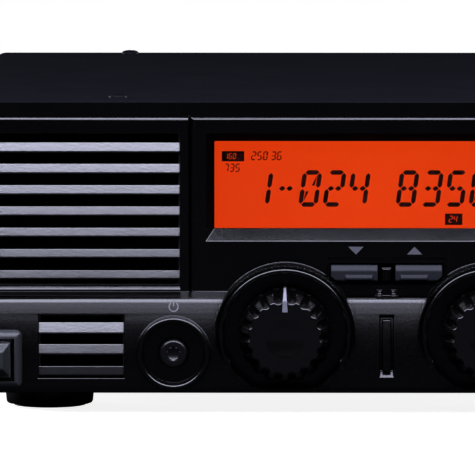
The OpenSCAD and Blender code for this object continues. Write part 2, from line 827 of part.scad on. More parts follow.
// Channel key: a bevelled cap with a finger bar near its lower edge
module channel_key(s) {
    c = key_centre(s);
    color(grey) union() {
        intersection() {
            facing(-4, panel_wall + lip_gap) key_outline(s, 0);
            along_x(c[0] - key_w, c[0] + key_w) polygon([
                [4, key_z], [-1.6, key_z], [-2, key_z + 0.5], [-2, key_z + key_h - 1.8],
                [-0.6, key_z + key_h], [4, key_z + key_h]]);
        }
        along_x(c[0] - 4.6, c[0] + 4.6) polygon([
            [-1, key_z + 0.5], [-2.6, key_z + 0.5], [-3.1, key_z + 1], [-3.1, key_z + 1.3],
            [-1.6, key_z + 2.5], [-1, key_z + 2.5]]);
        facing(panel_wall + lip_gap, panel_wall + lip_gap + lip_t) key_outline(s, lip_grow);
        drum(c[0], c[1], panel_wall, switch_front + 1.2, stem_r);
    }
}

module key_down() {
    channel_key(-1);
}

module key_up() {
    channel_key(1);
}

module side_key(n) {
    c = side_centre(n);
    color(grey) union() {
        facing(-1.6, panel_wall + lip_gap) side_key_outline(n, 0);
        facing(-2.2, -1) side_key_outline(n, -0.6);
        facing(panel_wall + lip_gap, panel_wall + lip_gap + lip_t) side_key_outline(n, lip_grow);
        drum(c[0], c[1], panel_wall, switch_front + 1.2, stem_r);
    }
}

module side_key_1() {
    side_key(1);
}

module side_key_2() {
    side_key(2);
}

module side_key_3() {
    side_key(3);
}

module side_key_4() {
    side_key(4);
}

power_front = -9.4;
power_back = power_floor + power_floor_t + lip_gap;

module power_button() {
    r = power_d / 2;
    color(dark) difference() {
        turned(power_x, power_z, [
            [0, power_front], [r - 0.8, power_front], [r, power_front + 0.8], [r, power_back],
            [r + 1.2, power_back], [r + 1.2, power_back + lip_t], [power_stem_r, power_back + lip_t],
            [power_stem_r, 9], [0, 9]]);
        translate([power_x, strip_y + power_front - 3.4, power_z]) sphere(r = 4.2, $fn = 64);
    }
}

// Microphone jack and its rubber cap

mouth_back = 5;

module mic_jack() {
    color(dark) difference() {
        block(mic_x - jack_w / 2, mic_x + jack_w / 2, jack_front, board_front,
            mic_z - jack_h / 2, mic_z + jack_h / 2);
        block(mic_x - mic_mouth_w / 2, mic_x + mic_mouth_w / 2, jack_front - cut, mouth_back,
            mic_z - mic_mouth_h / 2, mic_z + mic_mouth_h / 2);
        block(mic_x - 1.8, mic_x + 1.8, jack_front - cut, mouth_back,
            mic_z - mic_mouth_h / 2 - 1.8, mic_z);
    }
}

cap_face = -ledge_out - 4.2;
cap_mid = -ledge_out - 1.6;
cap_round = 2.6;
cap_line_deep = 0.35;
grip_out = 3;
grip_foot = 5.6;

// Pull grip of the cap from the side: a frustum on a short foot, about the middle m
function grip_outline(m, tip) = [
    [cap_face + 1.2, m - grip_foot], [cap_face, m - grip_foot], [cap_face - grip_out, m - tip],
    [cap_face - grip_out, m + tip], [cap_face, m + grip_foot], [cap_face + 1.2, m + grip_foot]];

module mic_cap() {
    h = mic_cap_w / 2;
    seat = 0.15;
    color(grey) union() {
        difference() {
            intersection() {
                facing(cap_face, -ledge_out + 3)
                    polygon(rounded(mic_x - h, mic_x + h, mic_z - h, mic_z + h, 2.4));
                along_x(mic_x - h, mic_x + h) polygon(concat(
                    [[3 - ledge_out, mic_z - h]],
                    arc([cap_mid, mic_z - h + cap_round], cap_round, 270, 180, 5),
                    arc([cap_mid, mic_z + h - cap_round], cap_round, 180, 90, 5),
                    [[3 - ledge_out, mic_z + h]]));
                in_plan(mic_z - h, mic_z + h) polygon(concat(
                    [[mic_x - h, 3 - ledge_out]],
                    arc([mic_x - h + cap_round, cap_mid], cap_round, 180, 270, 5),
                    arc([mic_x + h - cap_round, cap_mid], cap_round, 270, 360, 5),
                    [[mic_x + h, 3 - ledge_out]]));
            }
            translate([0, -seat, 0]) along_x(mic_x - h - cut, mic_x + h + cut) polygon(panel_outline());
            difference() {
                facing(cap_face - cut, cap_face + cap_line_deep)
                    polygon(rounded(mic_x - h + 3, mic_x + h - 3, mic_z - h + 3, mic_z + h - 3, 1.4));
                facing(cap_face - 2 * cut, cap_face + 2 * cap_line_deep)
                    polygon(rounded(mic_x - h + 4, mic_x + h - 4, mic_z - h + 4, mic_z + h - 4, 1));
            }
        }
        intersection() {
            along_x(mic_x - h, mic_x + h) polygon(grip_outline(mic_z, 3));
            in_plan(mic_z - h, mic_z + h) polygon([for (p = grip_outline(mic_x, 3.4)) [p[1], p[0]]]);
        }
        block(mic_x - jack_w / 2, mic_x + jack_w / 2, -ledge_out - 3, jack_front - jack_play,
            mic_z - jack_h / 2, mic_z + jack_h / 2);
    }
}

// Loudspeaker

speaker_x = (grille_x0 + grille_x1) / 2;
speaker_z = (grille_z0 + grille_z1) / 2;
speaker_r = min((grille_x1 - grille_x0) / 2 - 7.15, grille_h / 2 + 1.85);
basket_r = speaker_r * 0.78;
basket_hole = [speaker_r * 0.32, 7, speaker_r * 0.5];
speaker_ears = [grille_x0 - rail + 2.7, grille_x1 + rail - 2.7];
cloth_front = panel_wall + rail_t;
rim_front = cloth_front + 0.6;
rim_t = 1.2;
ear_r = 2.4;
basket_back = rim_front + 15;
magnet_r = speaker_r * 0.595;
magnet_len = 11;
magnet_room = 3;

module speaker_cloth() {
    color("#101114") {
        drum(speaker_x, speaker_z, cloth_front, rim_front, speaker_r);
        block(vent_x0 - 1.6, vent_x1 + 1.6, vent_back + vent_rail_t, vent_back + vent_rail_t + 0.6,
            vent_z0 - 1.6, vent_z1 + 1.6);
    }
}

module speaker_frame() {
    r = speaker_r;
    color(metal) difference() {
        union() {
            turned(speaker_x, speaker_z, [
                [r - 3.2, rim_front], [r, rim_front], [r, rim_front + rim_t], [r - 2, rim_front + rim_t],
                [magnet_r - 1, basket_back], [6.6, basket_back], [6.6, basket_back - 1.2],
                [magnet_r - 1.8, basket_back - 1.2], [r - 3.2, rim_front + 1]]);
            for (x = speaker_ears) drum(x, speaker_z, rim_front, rim_front + rim_t, ear_r);
            for (s = [-1, 1]) {
                x0 = speaker_x + s * (r - 0.8);
                x1 = s < 0 ? speaker_ears[0] : speaker_ears[1];
                block(min(x0, x1), max(x0, x1), rim_front, rim_front + rim_t, speaker_z - ear_r,
                    speaker_z + ear_r);
            }
        }
        for (x = speaker_ears) drum(x, speaker_z, 0, basket_back, 1.4);
        for (i = [0:3]) translate([speaker_x, strip_y + rim_front + 8, speaker_z])
            rotate([0, 45 + 90 * i, 0]) translate([basket_r, 0, 0]) cube(basket_hole, center = true);
    }
}

module speaker_cone() {
    r = speaker_r - 3.5;
    color("#2b2a29") turned(speaker_x, speaker_z, [
        [r, rim_front], [r, rim_front + 0.6], [r - 2.4, rim_front + 1.4], [7, rim_front + 9.6],
        [6.2, rim_front + 13.4], [5.6, rim_front + 13.4], [5.6, rim_front + 8.4], [0, rim_front + 5.6],
        [0, rim_front + 4.8], [6.6, rim_front + 7.8], [r - 2.4, rim_front + 0.4]]);
}

module speaker_magnet() {
    back = basket_back + magnet_len;
    color(dark) turned(speaker_x, speaker_z, [
        [0, basket_back - 3], [5, basket_back - 3], [5, back - 2], [6.8, back - 2], [6.8, basket_back],
        [magnet_r, basket_back], [magnet_r, back], [0, back]]);
}

module inner_screws() {
    color(metal) {
        for (p = boss_spots) union() {
            drum(p[0], p[1], board_front + board_t, board_front + board_t + 1.4, 2);
            drum(p[0], p[1], board_front - 5, board_front + board_t + 0.5, 1);
        }
        for (x = speaker_ears) union() {
            drum(x, speaker_z, rim_front + rim_t, rim_front + rim_t + 1.2, 2.2);
            drum(x, speaker_z, panel_wall + 0.2, rim_front + rim_t + 0.5, 1.25);
        }
    }
}

// Case

span_x = inner_x - side_t + 0.1;
deck_z = cover_mid - 1.5;
deck_t = 2;
deck_end = rear_front - fan_deep - 3;
rail_h = 6;
rail_w = 12;
rail_d = [panel_d + 12, deck_end - 8];
foot_d = [rail_d[0], rail_d[1]];
top_screw_x = [51.5 - cover_x, cover_x - 43];
low_screw_x = cover_x - 51.5;
top_screw_d = [panel_d + 21, rear_face - rear_t / 2];
side_screw_d = [panel_d + 46, deck_end - 20];
side_screw_z = [cover_mid - 12, cover_mid + 12];
bracket_z = cover_mid + 9;
bracket_mid = panel_d + 126;
bracket_deep = 9;

module sleeve(d0, d1, grow) {
    facing(d0, d1) polygon(rounded(grow - cover_x, cover_x - grow, cover_z0 + grow, panel_z1 - grow,
        bend_r - grow));
}

module cover_shell() {
    difference() {
        sleeve(panel_d, cover_end, 0);
        sleeve(panel_d - cut, cover_end + cut, sheet_t);
    }
}

module top_cover() {
    color(dark) difference() {
        cover_shell();
        block(-panel_x, panel_x, 0, cover_end + cut, 0, cover_mid + cover_seam / 2);
        for (x = top_screw_x) for (d = top_screw_d)
            post(x, d, inner_z1 - cut, panel_z1 + cut, screw_d / 2 + screw_play);
        for (d = side_screw_d) across(-panel_x, panel_x, d, side_screw_z[1], screw_d / 2 + screw_play);
        for (s = [-1, 1]) across(-panel_x, panel_x, bracket_mid + s * bracket_span / 2, bracket_z,
            bracket_d / 2 + 0.25);
    }
}

module bottom_cover() {
    color(dark) difference() {
        cover_shell();
        block(-panel_x, panel_x, 0, cover_end + cut, cover_mid - cover_seam / 2, panel_z1 + cut);
        for (x = [-foot_x, foot_x]) for (d = foot_d)
            post(x, d, 0, inner_z0 + cut, screw_d / 2 + screw_play);
        for (x = [-low_screw_x, low_screw_x]) for (d = rail_d)
            post(x, d, 0, inner_z0 + cut, screw_d / 2 + screw_play);
        for (d = side_screw_d) across(-panel_x, panel_x, d, side_screw_z[0], screw_d / 2 + screw_play);
    }
}

// Space left free round the loudspeaker's magnet, from the depth d0
module magnet_space(d0) {
    r = magnet_r + magnet_room;
    block(speaker_x - r, speaker_x + r, d0, basket_back + magnet_len + magnet_room, 0, panel_z1);
}

module chassis() {
    color(metal) difference() {
        union() {
            difference() {
                sleeve(plate_front, rear_front, sheet_t);
                block(side_t - inner_x, inner_x - side_t, plate_front + plate_t, rear_front + cut, 0,
                    panel_z1);
            }
            difference() {
                block(-span_x, span_x, plate_front, deck_end, deck_z, deck_z + deck_t);
                magnet_space(plate_front + plate_t);
            }
            intersection() {
                union() {
                    for (d = rail_d) block(-span_x, span_x, d - rail_w / 2, d + rail_w / 2, inner_z0,
                        inner_z0 + rail_h);
                    block(-span_x, span_x, top_screw_d[0] - rail_w / 2, top_screw_d[0] + rail_w / 2,
                        inner_z1 - rail_h, inner_z1);
                }
                sleeve(plate_front, rear_front, sheet_t);
            }
            for (s = [-1, 1]) {
                for (z = arm_z) block(s > 0 ? inner_x - side_t : -inner_x,
                    s > 0 ? inner_x : side_t - inner_x, arm_d0, plate_front + cut, z[0], z[1]);
                for (t = [-1, 1]) across(s > 0 ? inner_x - bracket_deep : cut - inner_x,
                    s > 0 ? inner_x - cut : bracket_deep - inner_x, bracket_mid + t * bracket_span / 2,
                    bracket_z, bracket_d / 2 + 3);
            }
        }
        drum(speaker_x, speaker_z, plate_front - cut, plate_front + plate_t + cut, speaker_r - 3);
        block(-18, 18, plate_front - cut, plate_front + plate_t + cut, deck_z - 22, deck_z - 14);
        for (s = [-1, 1]) for (t = [-1, 1]) across(s > 0 ? inner_x - bracket_deep - cut : -inner_x - cut,
            s > 0 ? inner_x + cut : bracket_deep + cut - inner_x, bracket_mid + t * bracket_span / 2,
            bracket_z, bracket_d / 2);
        for (z = arm_z)
            across(-panel_x, panel_x, panel_screw_d, (z[0] + z[1]) / 2, screw_d / 2 + thread_gap);
        for (z = side_screw_z) for (d = side_screw_d)
            across(-panel_x, panel_x, d, z, screw_d / 2 + thread_gap);
        for (x = top_screw_x)
            post(x, top_screw_d[0], inner_z1 - rail_h - cut, inner_z1 + cut, screw_d / 2 + thread_gap);
        for (x = [-low_screw_x, low_screw_x, -foot_x, foot_x]) for (d = rail_d)
            post(x, d, inner_z0 - cut, inner_z0 + rail_h + cut, screw_d / 2 + thread_gap);
    }
}

screw_len = 5;

// Low round head with its shank, along +z with the seat at the origin
module case_screw() {
    union() {
        intersection() {
            cylinder(h = head_h, r = head_d / 2);
            translate([0, 0, head_h - head_d]) sphere(r = head_d, $fn = 64);
        }
        translate([0, 0, -screw_len]) cylinder(h = screw_len + 0.5, r = screw_d / 2);
    }
}

module case_screws() {
    color(dark) {
        for (x = top_screw_x) for (d = top_screw_d) translate([x, strip_y + d, panel_z1]) case_screw();
        for (x = [-low_screw_x, low_screw_x]) for (d = rail_d)
            translate([x, strip_y + d, cover_z0]) rotate([180, 0, 0]) case_screw();
        for (s = [-1, 1]) {
            for (z = side_screw_z) for (d = side_screw_d)
                translate([s * cover_x, strip_y + d, z]) rotate([0, s * 90, 0]) case_screw();
            for (z = arm_z) translate([s * (panel_x - 1.6), strip_y + panel_screw_d, (z[0] + z[1]) / 2])
                rotate([0, s * 90, 0]) union() {
                    cylinder(h = 1.4, r = head_d / 2 - 0.2);
                    translate([0, 0, -8]) cylinder(h = 8.5, r = screw_d / 2);
                }
        }
    }
}

// Feet

pad_t = 2;
pad_in = 0.6;
foot_bevel = 0.5;
foot_taper = 0.6;
foot_step = 4.4;

function foot_outline(r) = [
    [screw_d / 2 + 0.3, cover_z0], [r - foot_step, cover_z0], [r - foot_step, panel_z0 - 0.3],
    [r, panel_z0 - 0.3], [r - foot_taper, pad_in + foot_bevel], [r - foot_taper - foot_bevel, pad_in],
    [r - 3, pad_in], [r - 3, pad_t], [4, pad_t], [4, pad_t + 2.4], [screw_d / 2 + 0.3, pad_t + 2.4]];

module foot(x, d, r) {
    translate([x, strip_y + d, 0]) rotate_extrude() polygon(foot_outline(r));
}

module front_feet() {
    color(black) for (x = [-foot_x, foot_x]) foot(x, foot_d[0], front_foot_d / 2);
}

module rear_feet() {
    color(black) for (x = [-foot_x, foot_x]) foot(x, foot_d[1], rear_foot_d / 2);
}

module foot_pads() {
    color(dark) for (x = [-foot_x, foot_x]) for (i = [0, 1]) difference() {
        post(x, foot_d[i], 0, pad_t, (i == 0 ? front_foot_d : rear_foot_d) / 2 - 3.1);
        post(x, foot_d[i], -cut, pad_t + cut, 4);
    }
}

module foot_screws() {
    color(metal) for (x = [-foot_x, foot_x]) for (d = foot_d) union() {
        post(x, d, pad_t + 0.2, pad_t + 2.4, 3);
        post(x, d, pad_t + 2, inner_z0 + rail_h - 0.5, screw_d / 2);
    }
}

// Rear wall

fan_x = cover_x - 110;
fan_z = cover_mid + 5;
fan_r = fan_w / 2 - 2;
fan_hole = fan_w / 2 - 5;
fin_x0 = 5 - inner_x;
fin_count = floor((fan_x + fan_w / 2 + 3 - fin_x0) / fin_pitch) + 1;
fin_z0 = inner_z0 + 4;
fin_z1 = inner_z1 - 4;
antenna_x = cover_x - 27;
antenna_z = panel_z1 - 26;
stud_x = cover_x - 57;
stud_z = inner_z0 + 11;
stud_out = 13;
stud_r = stud_d / 2 + 0.6;
nut_end = 4.6;
dc_x = cover_x - 25;
dc_z = inner_z0 + 16;
dc_w = 28;
dc_h = 17;
dc_mouth_w = 23;
dc_mouth_h = 12;
dc_front = rear_front - 7;
dc_back = rear_face + 3;
data_x = cover_x - 59;
data_spots = [[data_x, panel_z1 - 20], [data_x, panel_z1 - 42]];
data_r = 8;
jack_spots = [[cover_x - 36, panel_z1 - 56], [cover_x - 16, panel_z1 - 56]];
jack_body = 10;
jack_deep = 9;
flange_w = 25.4;
flange_hole = 9.05;
insulator_r = 6.3;
insulator_gap = 0.05;

module fan_corners() {
    for (sx = [-1, 1]) for (sz = [-1, 1])
        translate([fan_x + sx * fan_hole, 0, fan_z + sz * fan_hole]) children();
}

module antenna_corners() {
    for (sx = [-1, 1]) for (sz = [-1, 1])
        translate([antenna_x + sx * flange_hole, 0, antenna_z + sz * flange_hole]) children();
}

module heat_sink() {
    color(dark) difference() {
        union() {
            sleeve(rear_front, rear_face, sheet_t);
            difference() {
                for (i = [0:fin_count - 1]) block(fin_x0 + i * fin_pitch, fin_x0 + i * fin_pitch + fin_t,
                    rear_face - cut, fin_end, fin_z0, fin_z1);
                block(fan_x - fan_w / 2 - 3, fan_x + fan_w / 2 + 8, rear_face, fin_end + cut,
                    fan_z - fan_w / 2 - 3, fan_z + fan_w / 2 + 3);
            }
        }
        drum(fan_x, fan_z, rear_front - cut, rear_face + cut, fan_r);
        fan_corners() drum(0, 0, rear_front - cut, rear_face + cut, 2.2);
        drum(antenna_x, antenna_z, rear_front - cut, rear_face + cut, insulator_r + insulator_gap);
        antenna_corners() drum(0, 0, rear_face - 5, rear_face + cut, screw_d / 2 + thread_gap);
        drum(stud_x, stud_z, rear_front - cut, rear_face + cut, stud_r + thread_gap);
        block(dc_x - dc_w / 2 - 0.2, dc_x + dc_w / 2 + 0.2, rear_front - cut, rear_face + cut,
            dc_z - dc_h / 2 - 0.2, dc_z + dc_h / 2 + 0.2);
        for (p = data_spots) drum(p[0], p[1], rear_front - cut, rear_face + cut, data_r + 0.1);
        for (p = jack_spots) drum(p[0], p[1], rear_front - cut, rear_face + cut, 3.6);
        for (x = top_screw_x)
            post(x, top_screw_d[1], inner_z1 - 7, panel_z1, screw_d / 2 + thread_gap);
    }
}

hub_out = fan_w / 2 - 19;
blade_r = fan_r - 1;
bearing_r = 2.6;
axle_r = 1.5;
strut_w = 3;
fan_front = rear_front - fan_deep;

module fan_frame() {
    color(black) difference() {
        union() {
            difference() {
                facing(fan_front, rear_front) polygon(rounded(fan_x - fan_w / 2, fan_x + fan_w / 2,
                    fan_z - fan_w / 2, fan_z + fan_w / 2, 4));
                drum(fan_x, fan_z, fan_front - cut, rear_front + cut, fan_r);
            }
            drum(fan_x, fan_z, fan_front, fan_front + 2, hub_out + 0.6);
            for (i = [0:3]) translate([fan_x, strip_y + fan_front, fan_z]) rotate([0, 30 + 90 * i, 0])
                translate([hub_out - 4, 0, -strut_w / 2]) cube([fan_r + 1 - hub_out + 4, 2, strut_w]);
            drum(fan_x, fan_z, fan_front, fan_front + 8, bearing_r);
        }
        drum(fan_x, fan_z, fan_front + 1, fan_front + 9, axle_r + run_gap);
        fan_corners() drum(0, 0, fan_front - cut, rear_front + cut, 2.2);
    }
}

module fan_rotor() {
    color(black) union() {
        turned(fan_x, fan_z, [
            [0, fan_front + 1.4], [axle_r, fan_front + 1.4], [axle_r, rear_front - 3],
            [hub_out - 1.2, rear_front - 3], [hub_out - 1.2, fan_front + 3], [hub_out, fan_front + 3],
            [hub_out, rear_front - 1.6], [0, rear_front - 1.6]]);
        intersection() {
            for (i = [0:blades - 1]) translate([fan_x, strip_y + (fan_front + rear_front) / 2 + 1, fan_z])
                rotate([0, i * 360 / blades, 0]) translate([(hub_out + blade_r) / 2, 0, 0])
                    rotate([38, 0, 0]) cube([blade_r - hub_out + 4, 1.2, 14], center = true);
            turned(fan_x, fan_z, [
                [hub_out - 0.4, fan_front + 3.2], [blade_r, fan_front + 3.2], [blade_r, rear_front - 1.8],
                [hub_out - 0.4, rear_front - 1.8]]);
        }
    }
}

guard_t = 1.8;
guard_eye = 3.6;

module fan_guard() {
    w = guard_t / 2;
    d = rear_face + w + 0.3;
    color(metal) difference() {
        union() {
            for (k = [0.4, 0.7, 1]) translate([fan_x, strip_y + d, fan_z]) rotate([-90, 0, 0])
                rotate_extrude() translate([k * (fan_r - 1), 0]) circle(r = w, $fn = 16);
            for (sx = [-1, 1]) translate([fan_x, strip_y + d, fan_z]) rotate([0, 90 + sx * 45, 0])
                cylinder(h = 2 * fan_hole * sqrt(2), r = w * 0.9, center = true, $fn = 16);
            fan_corners() drum(0, 0, rear_face, rear_face + guard_t + 0.4, guard_eye);
        }
        fan_corners() drum(0, 0, rear_face - cut, rear_face + 4, 2.2);
    }
}

module rear_screws() {
    color(metal) {
        fan_corners() union() {
            drum(0, 0, rear_face + guard_t + 0.4, rear_face + guard_t + 2.6, 3.4);
            drum(0, 0, fan_front + 3, rear_face + guard_t + 1, 2);
        }
        antenna_corners() union() {
            drum(0, 0, rear_face + flange_t, rear_face + flange_t + 1.4, 2.5);
            drum(0, 0, rear_face - 4.5, rear_face + flange_t + 1, screw_d / 2);
        }
    }
}

module antenna_socket() {
    f = flange_w / 2;
    color("silver") difference() {
        union() {
            facing(rear_face, rear_face + flange_t)
                polygon(rounded(antenna_x - f, antenna_x + f, antenna_z - f, antenna_z + f, 2));
            drum(antenna_x, antenna_z, rear_face, barrel_end, barrel_d / 2);
        }
        drum(antenna_x, antenna_z, rear_face - cut, barrel_end + cut, insulator_r + insulator_gap);
        antenna_corners() drum(0, 0, rear_face - cut, rear_face + 4, screw_d / 2 + screw_play);
    }
}

contact_r = 2.8;

module antenna_insulator() {
    color("#ece7da") difference() {
        drum(antenna_x, antenna_z, rear_front - 1, barrel_end - 1.5, insulator_r);
        drum(antenna_x, antenna_z, rear_front - 2, barrel_end, contact_r + 0.02);
    }
}

module antenna_contact() {
    color(brass) difference() {
        drum(antenna_x, antenna_z, rear_front - 6, barrel_end - 1.7, contact_r);
        drum(antenna_x, antenna_z, barrel_end - 13.7, barrel_end, contact_d / 2);
    }
}

module ground_stud() {
    color(brass) union() {
        drum(stud_x, stud_z, rear_front - 2.4, rear_face + nut_end, stud_r);
        drum(stud_x, stud_z, rear_front, rear_face + stud_out, stud_d / 2);
        hex_nut(stud_x, stud_z, rear_front - 4.4, rear_front, 8);
    }
}

module ground_nut() {
    color(brass) difference() {
        union() {
            drum(stud_x, stud_z, rear_face, rear_face + 0.8, 6);
            hex_nut(stud_x, stud_z, rear_face + 0.7, rear_face + nut_end, 10);
        }
        drum(stud_x, stud_z, rear_face - cut, rear_face + 6, stud_r + thread_gap);
    }
}

module dc_inlet() {
    color("#e4ded0") difference() {
        union() {
            block(dc_x - dc_w / 2, dc_x + dc_w / 2, dc_front, dc_back, dc_z - dc_h / 2, dc_z + dc_h / 2);
            block(dc_x - dc_w / 2 - 1.6, dc_x + dc_w / 2 + 1.6, rear_face, rear_face + 1.2,
                dc_z - dc_h / 2 - 1.6, dc_z + dc_h / 2 + 1.6);
        }
        block(dc_x - dc_mouth_w / 2, dc_x + dc_mouth_w / 2, dc_front + 2.5, dc_back + cut,
            dc_z - dc_mouth_h / 2, dc_z + dc_mouth_h / 2);
        for (x = dc_pin_x) drum(x, dc_z, dc_front - cut, dc_back, dc_pin_r + 0.02);
    }
}

dc_pin_r = 1.5;
dc_pin_x = [for (i = [-1.5:1.5]) dc_x + i * 5.4];

module dc_pins() {
    color(brass) for (x = dc_pin_x) drum(x, dc_z, dc_front - 4, dc_front + 8, dc_pin_r);
}

module data_sockets() {
    for (p = data_spots) {
        color("silver") difference() {
            union() {
                drum(p[0], p[1], rear_front - 4, rear_face + 1.6, data_r);
                drum(p[0], p[1], rear_face, rear_face + 1.6, data_r + 1.6);
            }
            drum(p[0], p[1], rear_front - 2, rear_face + 2, data_r - 1);
        }
        color(black) difference() {
            drum(p[0], p[1], rear_front - 1.98, rear_face + 0.8, data_r - 1.02);
            for (i = [0:6]) {
                a = -60 + i * 50;
                drum(p[0] + 4.4 * sin(a), p[1] + 4.4 * cos(a), rear_face - 5, rear_face + 2, 0.75);
            }
        }
    }
}

module phone_jacks() {
    color(dark) for (p = jack_spots) difference() {
        union() {
            block(p[0] - jack_body / 2, p[0] + jack_body / 2, rear_front - jack_deep, rear_front,
                p[1] - jack_body / 2, p[1] + jack_body / 2);
            drum(p[0], p[1], rear_front - cut, rear_face + 2.4, 3.5);
            hex_nut(p[0], p[1], rear_face, rear_face + 1.8, 9);
        }
        drum(p[0], p[1], rear_front - jack_deep + 2, rear_face + 4, jack_d / 2);
    }
}

// Electronics inside the case

board_gap = 6.4;
main_z1 = deck_z - board_gap;
amp_z0 = deck_z + deck_t + board_gap;
board_edge = inner_x - side_t - 6;
stand_x = board_edge - 5;
amp_deep = 90;
stand_in = 10;
stand_r = 2.5;
stand_d = [plate_front + 24, deck_end - 6];
wing_x = fan_x - fan_w / 2 - 3;
wing_end = rear_front - 7;

module main_board() {
    color(green) difference() {
        block(-board_edge, board_edge, plate_front + 4, deck_end, main_z1 - board_t, main_z1);
        magnet_space(0);
    }
}

module amplifier_board() {
    color(green) in_plan(amp_z0, amp_z0 + board_t) polygon([
        [-board_edge, stand_d[1] - amp_deep], [board_edge, stand_d[1] - amp_deep], [board_edge, deck_end],
        [wing_x, deck_end], [wing_x, wing_end], [-board_edge, wing_end]]);
}

module board_standoffs() {
    color(brass) {
        for (x = [-stand_x, stand_x]) {
            for (d = [stand_d[0] + 16, stand_d[1]]) post(x, d, main_z1, deck_z, stand_r);
            for (d = [stand_d[1] - amp_deep + stand_in, stand_d[1]])
                post(x, d, deck_z + deck_t, amp_z0, stand_r);
        }
    }
}

can_h = 12;
can_t = 0.8;
can_w = board_edge * 0.69;
can_x = board_edge / 2;
can_d0 = plate_front + 74;
can_d1 = can_d0 + 70;

module shield_cans() {
    top = main_z1 - board_t;
    color(metal) for (x = [-can_x, can_x]) difference() {
        block(x - can_w / 2, x + can_w / 2, can_d0, can_d1, top - can_h, top);
        block(x - can_w / 2 + can_t, x + can_w / 2 - can_t, can_d0 + can_t, can_d1 - can_t,
            top - can_h + can_t, top + cut);
    }
}

wing_w = wing_x + board_edge;
transistor_x = [wing_x - 0.29 * wing_w, wing_x - 0.68 * wing_w];
lead_pitch = 5.4;

module power_transistors() {
    z = amp_z0 + board_t;
    color(black) for (x = transistor_x) union() {
        block(x - 8, x + 8, rear_front - 5, rear_front, z + 1, z + 21);
        for (i = [-1:1]) block(x + i * lead_pitch - 0.6, x + i * lead_pitch + 0.6, rear_front - 11,
            rear_front - 4, z, z + 2);
    }
}

coil_r = 8;
coil_wire_r = 3;
coil_pitch = 32;
coil_d = stand_d[1] - amp_deep + 40;

module filter_coils() {
    z = amp_z0 + board_t + coil_wire_r + 0.2;
    color(brass) for (i = [0:4]) translate([(i - 2.2) * coil_pitch, strip_y + coil_d, z])
        rotate_extrude() translate([coil_r, 0]) circle(r = coil_wire_r, $fn = 24);
}

module ribbon_cable() {
    z = deck_z - 18;
    d = plate_front + 8;
    color("#d9d6cf") along_x(-14, 14) polygon([
        [board_front + board_t, z - 0.4], [d + 0.8, z - 0.4], [d + 0.8, main_z1 - board_t],
        [d, main_z1 - board_t], [d, z + 0.4], [board_front + board_t, z + 0.4]]);
}

front_panel();
speaker_grille();
lower_grille();
display_lens();
lcd_glass();
backlight();
front_board();
panel_switches();
channel_encoder();
volume_pot();
control_nuts();
mic_jack();
speaker_cloth();
speaker_frame();
speaker_cone();
speaker_magnet();
inner_screws();
chassis();
top_cover();
bottom_cover();
heat_sink();
fan_frame();
fan_rotor();
fan_guard();
rear_screws();
antenna_socket();
antenna_insulator();
antenna_contact();
ground_stud();
ground_nut();
dc_inlet();
dc_pins();
data_sockets();
phone_jacks();
main_board();
amplifier_board();
shield_cans();
power_transistors();
filter_coils();
board_standoffs();
ribbon_cable();
front_feet();
rear_feet();
foot_pads();
foot_screws();
case_screws();
channel_knob();
channel_pointer();
channel_shaft();
volume_knob();
volume_pointer();
volume_shaft();
power_button();
key_down();
key_up();
side_key_1();
side_key_2();
side_key_3();
side_key_4();
mic_cap();
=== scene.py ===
"""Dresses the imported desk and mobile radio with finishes, display marks, fasteners and a studio."""
import logging
import math
from dataclasses import dataclass
from enum import Enum
from typing import ClassVar, Optional, Sequence, Union

import bmesh
import bpy
from mathutils import Matrix, Vector


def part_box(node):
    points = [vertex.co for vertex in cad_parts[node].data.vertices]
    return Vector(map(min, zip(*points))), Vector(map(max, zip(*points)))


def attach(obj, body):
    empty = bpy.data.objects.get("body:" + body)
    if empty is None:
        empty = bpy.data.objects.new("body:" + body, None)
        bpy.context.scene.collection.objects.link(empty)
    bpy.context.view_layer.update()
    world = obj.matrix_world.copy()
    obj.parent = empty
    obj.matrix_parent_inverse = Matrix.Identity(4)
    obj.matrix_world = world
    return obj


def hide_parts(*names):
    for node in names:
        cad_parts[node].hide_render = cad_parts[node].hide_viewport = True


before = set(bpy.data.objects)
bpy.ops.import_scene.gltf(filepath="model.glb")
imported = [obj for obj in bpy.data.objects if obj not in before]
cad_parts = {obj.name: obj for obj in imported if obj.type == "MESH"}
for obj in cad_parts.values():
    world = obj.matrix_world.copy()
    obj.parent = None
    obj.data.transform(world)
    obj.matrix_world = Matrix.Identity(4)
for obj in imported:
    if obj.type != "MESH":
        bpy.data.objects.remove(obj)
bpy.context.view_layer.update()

LOG = logging.getLogger("radio")
ROOT = "radio"
MM = 0.001
# Depth of the front panel behind its strip, in millimetres
PANEL_DEPTH = 14.0
STRIP_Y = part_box("front_panel")[1].y / MM - PANEL_DEPTH
# Points within this distance are joined, in metres
WELD = 2e-6
# Faces that meet within this angle are joined
FLAT = math.radians(0.4)

Colour = tuple[float, float, float]
Triple = tuple[float, float, float]
Point = tuple[float, float]
# Place and direction of a screw's head
Spot = tuple[Vector, Vector]
# A node's sockets by name or number, each with the socket that feeds it or its value
Inputs = dict[Union[str, int], object]
# Short names for Blender's own types
Shape = bmesh.types.BMesh
Vert = bmesh.types.BMVert
Piece = bpy.types.Object
Material = bpy.types.Material
Socket = bpy.types.NodeSocket
Node = bpy.types.Node
Tree = bpy.types.NodeTree


class Arrow(Enum):
    """Which way a printed arrow points."""

    DOWN = -1
    UP = 1


def at(x: float, d: float, z: float) -> Vector:
    """Give a point in metres from mm right of the middle, mm behind the front strip and mm up."""
    return Vector((x, STRIP_Y + d, z)) * MM


def new_piece(bm: Shape, name: str) -> Piece:
    """Turn a bmesh into an object of the scene.

    Args:
        bm: The shape, in metres; it is freed.
        name: The piece's name.

    Returns:
        The new object, at the origin.
    """
    mesh = bpy.data.meshes.new(name)
    bm.to_mesh(mesh)
    bm.free()
    obj = bpy.data.objects.new(name, mesh)
    bpy.context.scene.collection.objects.link(obj)
    return obj


